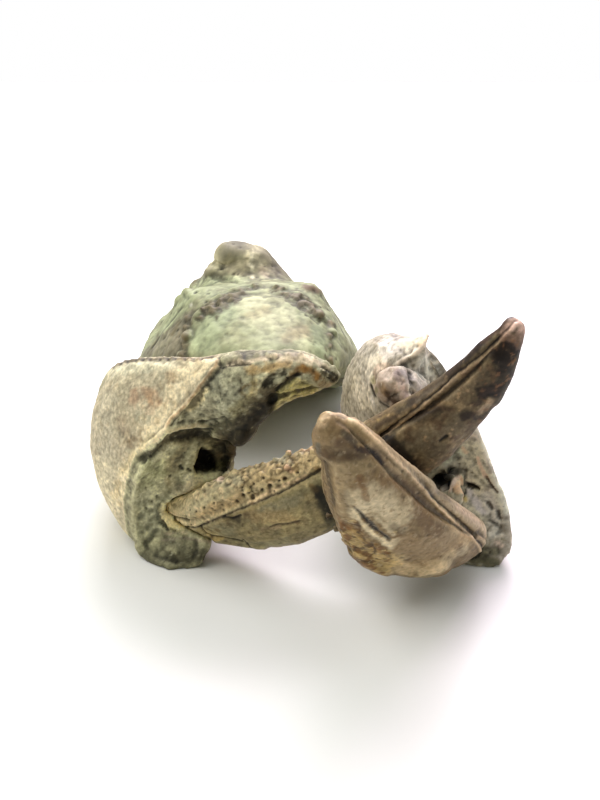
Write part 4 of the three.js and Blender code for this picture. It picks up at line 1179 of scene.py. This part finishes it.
def right_palm(fingers):
    p = Piece("right_palm_shell", "right_palm", 0.18)
    p.soften(120, p.near(19, (444, 344), (448, 362), ragged=0))
    p.tint[:] = seen(166, 158, 138, UPPER)
    p.mottles(UPPER, [
        ((196, 188, 168), 4, 71, -0.1, 0.6, 0.6),
        ((134, 124, 100), 2.4, 72, 0.2, 0.7, 0.5),
    ])
    p.lift(0.09, rough(p.base, 3, 73))
    p.stains_and_painted_light(UPPER, RIGHT_PALM_STAINS_AND_GLINTS)
    knob = p.within((372, 372), (378, 364), (388, 362), (398, 368), (405, 380), (408, 396),
        (398, 406), (384, 402), (374, 392), soft=0.8)
    p.paint(seen(158, 142, 122, UPPER), knob)
    p.stains_and_painted_light(UPPER, [
        ((176, 168, 154), 0.9, 6, (414, 380), (420, 390), (414, 398)),
        # Painted highlight on the knob's upper left.
        ((206, 188, 166), 0.9, 6, (379, 368), (384, 374), (389, 376)),
        ((160, 144, 134), 0.8, 5, (396, 374), (402, 386), (405, 394)),
        ((126, 104, 74), 0.9, 6, (382, 386), (386, 393)),
        ((76, 58, 40), 0.95, 6, (389, 394), (394, 399), (398, 404)),
        ((128, 122, 86), 0.85, 5, (373, 380), (376, 390)),
        ((66, 56, 42), 0.85, 2.6, (371, 385), (375, 396), (381, 402), (390, 407)),
    ])
    p.lift(-0.35, p.near(5, (410, 372), (413, 384), (414, 396)))
    p.cracks([(0.12, 1.4, (371, 386), (374, 395), (381, 403), (390, 407))], 0.5)
    p.cracks([(0.05, 0.8, (388 + 5 * i, 368 + 2 * i),
        (394 + 4 * i, 380 + 2 * i)) for i in range(3)], 0.75)
    crest = -p.beside(*LIP_CREST)
    shelf = p.near(10, *LIP_CREST, ragged=0.1)
    p.lift(0.2, shelf * band(crest, -1, 2.5))
    mouth = smooth(436, 446, p.q[:, 1]) * smooth(0, 0.2, p.facing)
    p.paint(seen(120, 114, 98, MOUTH), 0.8 * mouth * (1 - smooth(480, 492, p.q[:, 0])))
    p.stains_and_painted_light(MOUTH, RIGHT_MOUTH_STAINS_AND_SHADE)
    hole = p.within((433, 480), (442, 470), (454, 468), (452, 478), (447, 490), (439, 492))
    p.lift(-1.2, hole)
    p.lift(-0.6, p.within((466, 482), (474, 484), (479, 489), (468, 488)))
    p.lift(0.25, p.near(5, (460, 478), (456, 486), (460, 494)))
    p.cracks([
        (0.18, 1.6, (486, 477), (491, 485), (497, 492)),
        (0.14, 2.2, (488, 503), (492, 508)),
        (0.14, 2.2, (498, 512), (500, 518)),
        (0.12, 2, (490, 520), (496, 524)),
        (0.12, 1.2, (464, 480), (466, 492), (463, 498)),
    ], 0.55)
    p.lift(-0.3, p.near(4, (458, 566), (470, 568), (486, 572),
        (500, 570)) * smooth(0, 0.3, noise(p.base, 1.1, 74)))
    p.grain(0.5, 0.06, 75, 1.0, 0.14)
    p.grain(0.9, 0.1, 76, 0.6 * mouth, 0.2)
    p.pores(1.0, 0.08, 77, 0.5 + 0.4 * mouth, 0.55)
    p.lift(0.05, rough(p.base, 0.8, 78, 3))
    p.mottles(UPPER, [
        ((128, 118, 94), 0.5, 79, 0.35, 0.8, 0.4),
        ((216, 208, 186), 0.6, 80, 0.35, 0.8, 0.4, 1 - mouth),
    ])
    p.mottle(seen(64, 58, 44, MOUTH), 0.9, 81, 0.5, 0.9, 0.4, mouth)
    p.lifts([
        (-1.1, 20, 0, (443, 344), (448, 364)),
        (0.25, 10, 0.05, (507, 490), (511, 520), (510, 548)),
    ])
    # Painted light and shade, with some corrections of tone: lighter on sides turned from the
    # lamps, darker round the hole.
    p.light_shade_and_tone([
        (1.9, 20, (472, 446), (478, 480), (480, 505), (488, 525), (494, 538)),
        (0.6, 4, (502, 490), (505, 520), (506, 545)),
        (0.6, 6, (448, 480), (454, 488)),
        (2.0, 8, (372, 360), (384, 356)),
        (1.6, 13, (358, 384), (366, 400)),
        (1.6, 8, (404, 345), (414, 350)),
        (2.0, 5, (398, 384), (401, 390)),
        (0.55, 6, (403, 364), (410, 374)),
        (2.2, 13, (437, 345), (438, 360), (430, 374)),
        (1.6, 8, (404, 380), (408, 392)),
        (1.5, 7, (372, 376), (374, 386)),
        (0.8, 9, (358, 344), (372, 354)),
        (0.35, 7, (438, 484), (446, 478), (454, 472)),
        (0.6, 9, (480, 548), (498, 548)),
        (1.4, 8, (370, 368), (380, 362)),
        (0.7, 6, (398, 372), (402, 378)),
        (0.7, 7, (480, 552), (496, 552)),
        (0.7, 6, (390, 393), (396, 398)),
        (0.72, 7, (404, 371), (412, 379)),
        (1.35, 6, (378, 368), (384, 368)),
        (1.2, 7, (384, 390), (388, 392)),
    ])
    for finger in fingers:
        p.meet(finger)
    p.tone_by_relief(0.4)
    p.finish(fossil("right_palm_stone", speck=0.2))


ARCH = [
    (183, 352), (185, 338), (189, 324), (198, 310), (216, 299), (236, 291), (252, 287), (270, 287),
    (286, 291), (300, 300), (318, 314), (328, 326), (330, 345), (332, 362),
]
LUMPS = [
    (255, 286, 3), (248, 288, 3.2), (242, 292, 3.2), (236, 296, 5), (229, 300, 5.5), (221, 304, 5),
    (213, 306, 5.5), (207, 312, 5), (215, 313, 4), (201, 317, 3.5), (188, 318, 3), (188, 328, 3.6),
    (185, 338, 3), (185, 346, 3.4), (183, 356, 3.6), (274, 288, 3.4), (281, 291, 3.4),
    (287, 294, 2.6), (297, 297, 4.6), (304, 302, 5.5), (311, 307, 5.5), (317, 313, 4.4),
    (322, 317, 3), (331, 324, 4), (329, 337, 3.6), (329, 348, 3.4), (331, 361, 4),
]
CARAPACE_STAINS = [
    ((188, 196, 168), 0.8, 20, (205, 340), (212, 325), (225, 312)),
    ((224, 222, 194), 0.8, 22, (250, 302), (262, 318), (280, 320)),
    ((206, 208, 180), 0.7, 18, (240, 340), (270, 340), (300, 345)),
    ((196, 184, 152), 0.7, 9, (252, 315), (264, 310)),
    ((190, 176, 148), 0.7, 9, (292, 332), (304, 330), (286, 338)),
    ((184, 182, 152), 0.6, 8, (244, 345), (236, 332)),
    ((158, 166, 142), 0.8, 9, (318, 345), (322, 360), (318, 330)),
    ((140, 150, 126), 0.85, 12, (322, 396), (330, 405), (326, 380)),
]


def carapace():
    p = Piece("carapace_shell", "carapace", 0.26)
    p.soften(50, p.near(20, (240, 252), ragged=0))
    p.soften(80, p.near(46, (240, 258), ragged=0) * smooth(0.05, -0.2, p.facing))
    over = -p.beside(*ARCH) + 2 * p.fray
    behind = smooth(-3, 3, over)
    p.tint[:] = seen(176, 180, 152, FIELD)
    p.mottles(FIELD, [
        ((150, 146, 122), 6, 91, -0.1, 0.6, 0.7),
        ((118, 108, 92), 4, 92, 0.2, 0.8, 0.5, behind),
    ])
    p.lift(0.14, rough(p.base, 4.5, 93))
    p.stains_and_painted_light(FIELD, CARAPACE_STAINS)
    hump = smooth(283, 272, p.q[:, 1]) * smooth(-0.4, 0, p.facing)
    p.paint(seen(134, 126, 110, FLANK), 0.9 * hump)
    flank = p.within((186, 312), (196, 306), (188, 326), (184, 358), (140, 358),
        (158, 336), soft=3)
    p.paint(seen(122, 114, 102, FLANK), 0.85 * flank)
    p.stains_and_painted_light(FLANK, [
        ((106, 101, 90), 0.7, 7, (230, 250), (238, 246), (226, 258)),
        ((104, 98, 86), 0.7, 8, (264, 256), (274, 266)),
        ((164, 154, 136), 0.8, 8, (230, 268), (244, 266), (240, 276)),
        ((192, 184, 166), 0.8, 2.4, (250, 246), (251, 260), (252, 278)),
        ((150, 136, 124), 0.7, 5, (262, 270), (268, 276)),
        ((188, 192, 164), 0.85, 5, (202, 283), (222, 281), (246, 280)),
        ((188, 192, 164), 0.8, 5, (262, 283), (284, 284), (304, 290), (326, 312)),
        ((196, 200, 178), 0.7, 4, (330, 308), (340, 325), (350, 343)),
        ((186, 192, 166), 0.7, 5, (196, 290), (180, 306), (162, 332)),
        ((126, 104, 88), 0.8, 5, (306, 289), (314, 291)),
        ((92, 78, 62), 0.9, 4, (188, 286), (194, 283)),
        ((98, 88, 68), 0.7, 4, (178, 322), (172, 334)),
        ((124, 116, 96), 0.5, 11, (204, 310), (220, 303), (242, 291)),
    ])
    for u, v, wide in LUMPS:
        p.lift(0.13 * wide ** 0.5, p.near(1.15 * wide, (u, v), ragged=0.8))
        p.paint(seen(84, 75, 60, FLANK), 0.85 * p.near(1.8 * wide, (u, v), ragged=0.8))
        p.paint(seen(138, 124, 104, FLANK), 0.6 * p.near(0.8 * wide, (u - 0.8, v - 1), ragged=0.9))
    p.stains_and_painted_light(FLANK, [
        ((126, 118, 98), 0.6, 7, (210, 309), (222, 302), (238, 296)),
        ((134, 124, 112), 0.7, 6.5, (295, 297), (306, 304), (316, 312)),
        ((110, 102, 86), 0.6, 5, (186, 350), (186, 334), (191, 320)),
        ((220, 216, 204), 0.9, 3, (191, 305)),
    ])
    p.lift(-0.2, p.near(5, *[(u, v + 7) for u, v in ARCH[3:11]]))
    p.cracks([
        (0.15, 1.4, (332, 302), (342, 322), (354, 345)),
        (0.12, 1.4, (326, 300), (336, 318), (346, 338)),
        (0.12, 1.4, (196, 292), (176, 314), (152, 348)),
    ], 0.6)
    p.lifts([
        (0.25, 5, 0.4, (208, 265), (212, 262)),
        (0.75, 30, 0, (238, 246), (252, 246)),
        (0.35, 14, 0.1, (222, 256), (212, 268)),
        (0.5, 8, 0.2, (186, 288), (194, 284)),
        (0.3, 10, 0.05, (176, 296), (160, 320), (148, 345)),
        (0.3, 6, 0.4, (304, 288), (312, 288), (319, 293)),
        (-0.25, 5, 0.4, (214, 276), (222, 279), (236, 282)),
    ])
    p.grain(0.8, 0.05, 95, 0.4 + 0.6 * behind, 0.1)
    p.pores(1.6, 0.1, 96, 0.4 + 0.6 * behind, 0.6)
    p.lift(0.05, rough(p.base, 1.1, 97, 3))
    p.mottle(seen(120, 110, 92, FLANK), 1.2, 98, 0.3, 0.8, 0.45, behind)
    p.stains_and_painted_light(FLANK, [
        ((108, 102, 90), 0.5, 6, (236, 256), (240, 249)),
        ((196, 188, 170), 0.6, 2.2, (251, 248), (252, 262), (252, 280)),
        ((92, 78, 62), 0.7, 4, (186, 287), (196, 283)),
        ((112, 94, 80), 0.7, 4.5, (303, 288), (312, 290), (320, 294)),
    ])
    # Painted light and shade, with some corrections of tone: lighter where the left finger's
    # shadow falls.
    p.light_shade_and_tone([
        (1.7, 15, (220, 258), (236, 262), (232, 272)),
        (2.1, 14, (258, 254), (264, 262), (262, 272)),
        (0.8, 8, (236, 243), (256, 246)),
        (1.5, 9, (212, 268), (220, 262)),
        (0.8, 10, (284, 346), (306, 356)),
        (1.5, 13, (306, 346), (326, 354), (336, 376)),
        (1.3, 9, (314, 312), (328, 324)),
        (1.4, 9, (270, 290), (284, 296)),
        (1.4, 14, (160, 345), (176, 338), (188, 346)),
        (0.85, 12, (278, 344), (292, 348)),
        (2.0, 12, (320, 384), (326, 394), (332, 408)),
        (0.8, 8, (338, 316), (342, 324)),
        (0.8, 11, (266, 256), (276, 268)),
    ])
    p.tone_by_relief(0.3)
    p.finish(fossil("carapace_stone", speck=0.08))


def limb_stub(node):
    """A wrist or an arm, rough and dirty."""
    p = Piece(node + "_shell", node, 0.2)
    p.tint[:] = seen(138, 130, 106, OUTER)
    p.mottles(OUTER, [
        ((176, 164, 132), 3, 111, 0, 0.6, 0.7),
        ((92, 80, 60), 1.6, 112, 0.2, 0.7, 0.6),
    ])
    p.lift(0.1, rough(p.base, 2, 113))
    p.grain(0.6, 0.07, 114, 1.0, 0.2)
    p.pores(1.1, 0.1, 115)
    p.tone_by_relief(0.3)
    p.finish(fossil(node + "_stone"))


left_finger = left_dactyl()
right_finger = right_dactyl()
left_palm(left_finger)
right_palm([left_finger, right_finger])
carapace()
for stub in ("left_wrist", "left_arm", "right_wrist", "right_arm"):
    limb_stub(stub)

# The table. Its top lies a hair below the part. From the photograph's own place its far edge
# can't be told from the white beyond; in low views from behind it is a faint line.
TABLE_SIDE, TABLE_TOP = 0.6, -0.00005
half = TABLE_SIDE / 2
corners = [(-half, -half), (half, -half), (half, half), (-half, half)]
flat = bpy.data.meshes.new("table")
flat.from_pydata([(x, y, TABLE_TOP) for x, y in corners], [], [(0, 1, 2, 3)])
table = bpy.data.objects.new("table", flat)
bpy.context.scene.collection.objects.link(table)
white = bpy.data.materials.new("white_table")
white.use_nodes = True
white.node_tree.nodes["Principled BSDF"].inputs["Base Color"].default_value = (0.8, 0.8, 0.79, 1)
white.node_tree.nodes["Principled BSDF"].inputs["Roughness"].default_value = 0.6
flat.materials.append(white)

# Square lamps that face the middle of the table: name, place, side in metres, watts, colour.
LAMPS = [
    ("window", (0, 0.41, 0.37), 0.32, 3.1, (1, 1, 1.01)),
    ("right_window", (0.153, 0.38, 0.37), 0.32, 2.1, (1.09, 0.86, 1.06)),
    ("left_wall", (-0.42, 0.04, 0.42), 0.5, 2.8, (1.03, 1, 0.94)),
    ("right_wall", (0.42, 0.07, 0.42), 0.4, 0.8, (1, 1, 1)),
    ("ceiling", (0, 0.01, 0.6), 0.5, 1.3, (0.97, 1, 1.04)),
]
for name, place, side, watts, colour in LAMPS:
    light = bpy.data.lights.new(name, "AREA")
    light.shape = "RECTANGLE"
    light.size = light.size_y = side
    light.energy = watts
    light.color = colour
    lamp = bpy.data.objects.new(name, light)
    bpy.context.scene.collection.objects.link(lamp)
    lamp.location = place
    lamp.rotation_euler = (Vector() - Vector(place)).to_track_quat("-Z", "Y").to_euler()

# The room lights the part dimly, but past the table's edge the camera sees plain white.
ROOM, ROOM_STRENGTH = (0.93, 1, 0.78, 1), 0.124
world = bpy.data.worlds.new("room")
world.use_nodes = True
room = world.node_tree
dim = room.nodes["Background"]
dim.inputs["Color"].default_value = ROOM
dim.inputs["Strength"].default_value = ROOM_STRENGTH
blank = node_of(room, "ShaderNodeBackground", Color=(1, 1, 1, 1))
choice = room.nodes.new("ShaderNodeMixShader")
path = room.nodes.new("ShaderNodeLightPath")
room.links.new(path.outputs["Is Camera Ray"], choice.inputs[0])
room.links.new(dim.outputs[0], choice.inputs[1])
room.links.new(blank.outputs[0], choice.inputs[2])
room.links.new(choice.outputs[0], room.nodes["World Output"].inputs["Surface"])
bpy.context.scene.world = world
bpy.context.scene.view_settings.view_transform = "Standard"

lens = bpy.data.cameras.new("camera")
lens.sensor_width = SENSOR
lens.lens = FOCAL / (2 * MIDDLE[1]) * SENSOR
lens.clip_start, lens.clip_end = 0.005, 20
camera = bpy.data.objects.new("camera", lens)
camera.location = EYE / MM
camera.rotation_euler = (math.radians(90) - PITCH, 0, 0)
bpy.context.scene.collection.objects.link(camera)
bpy.context.scene.camera = camera
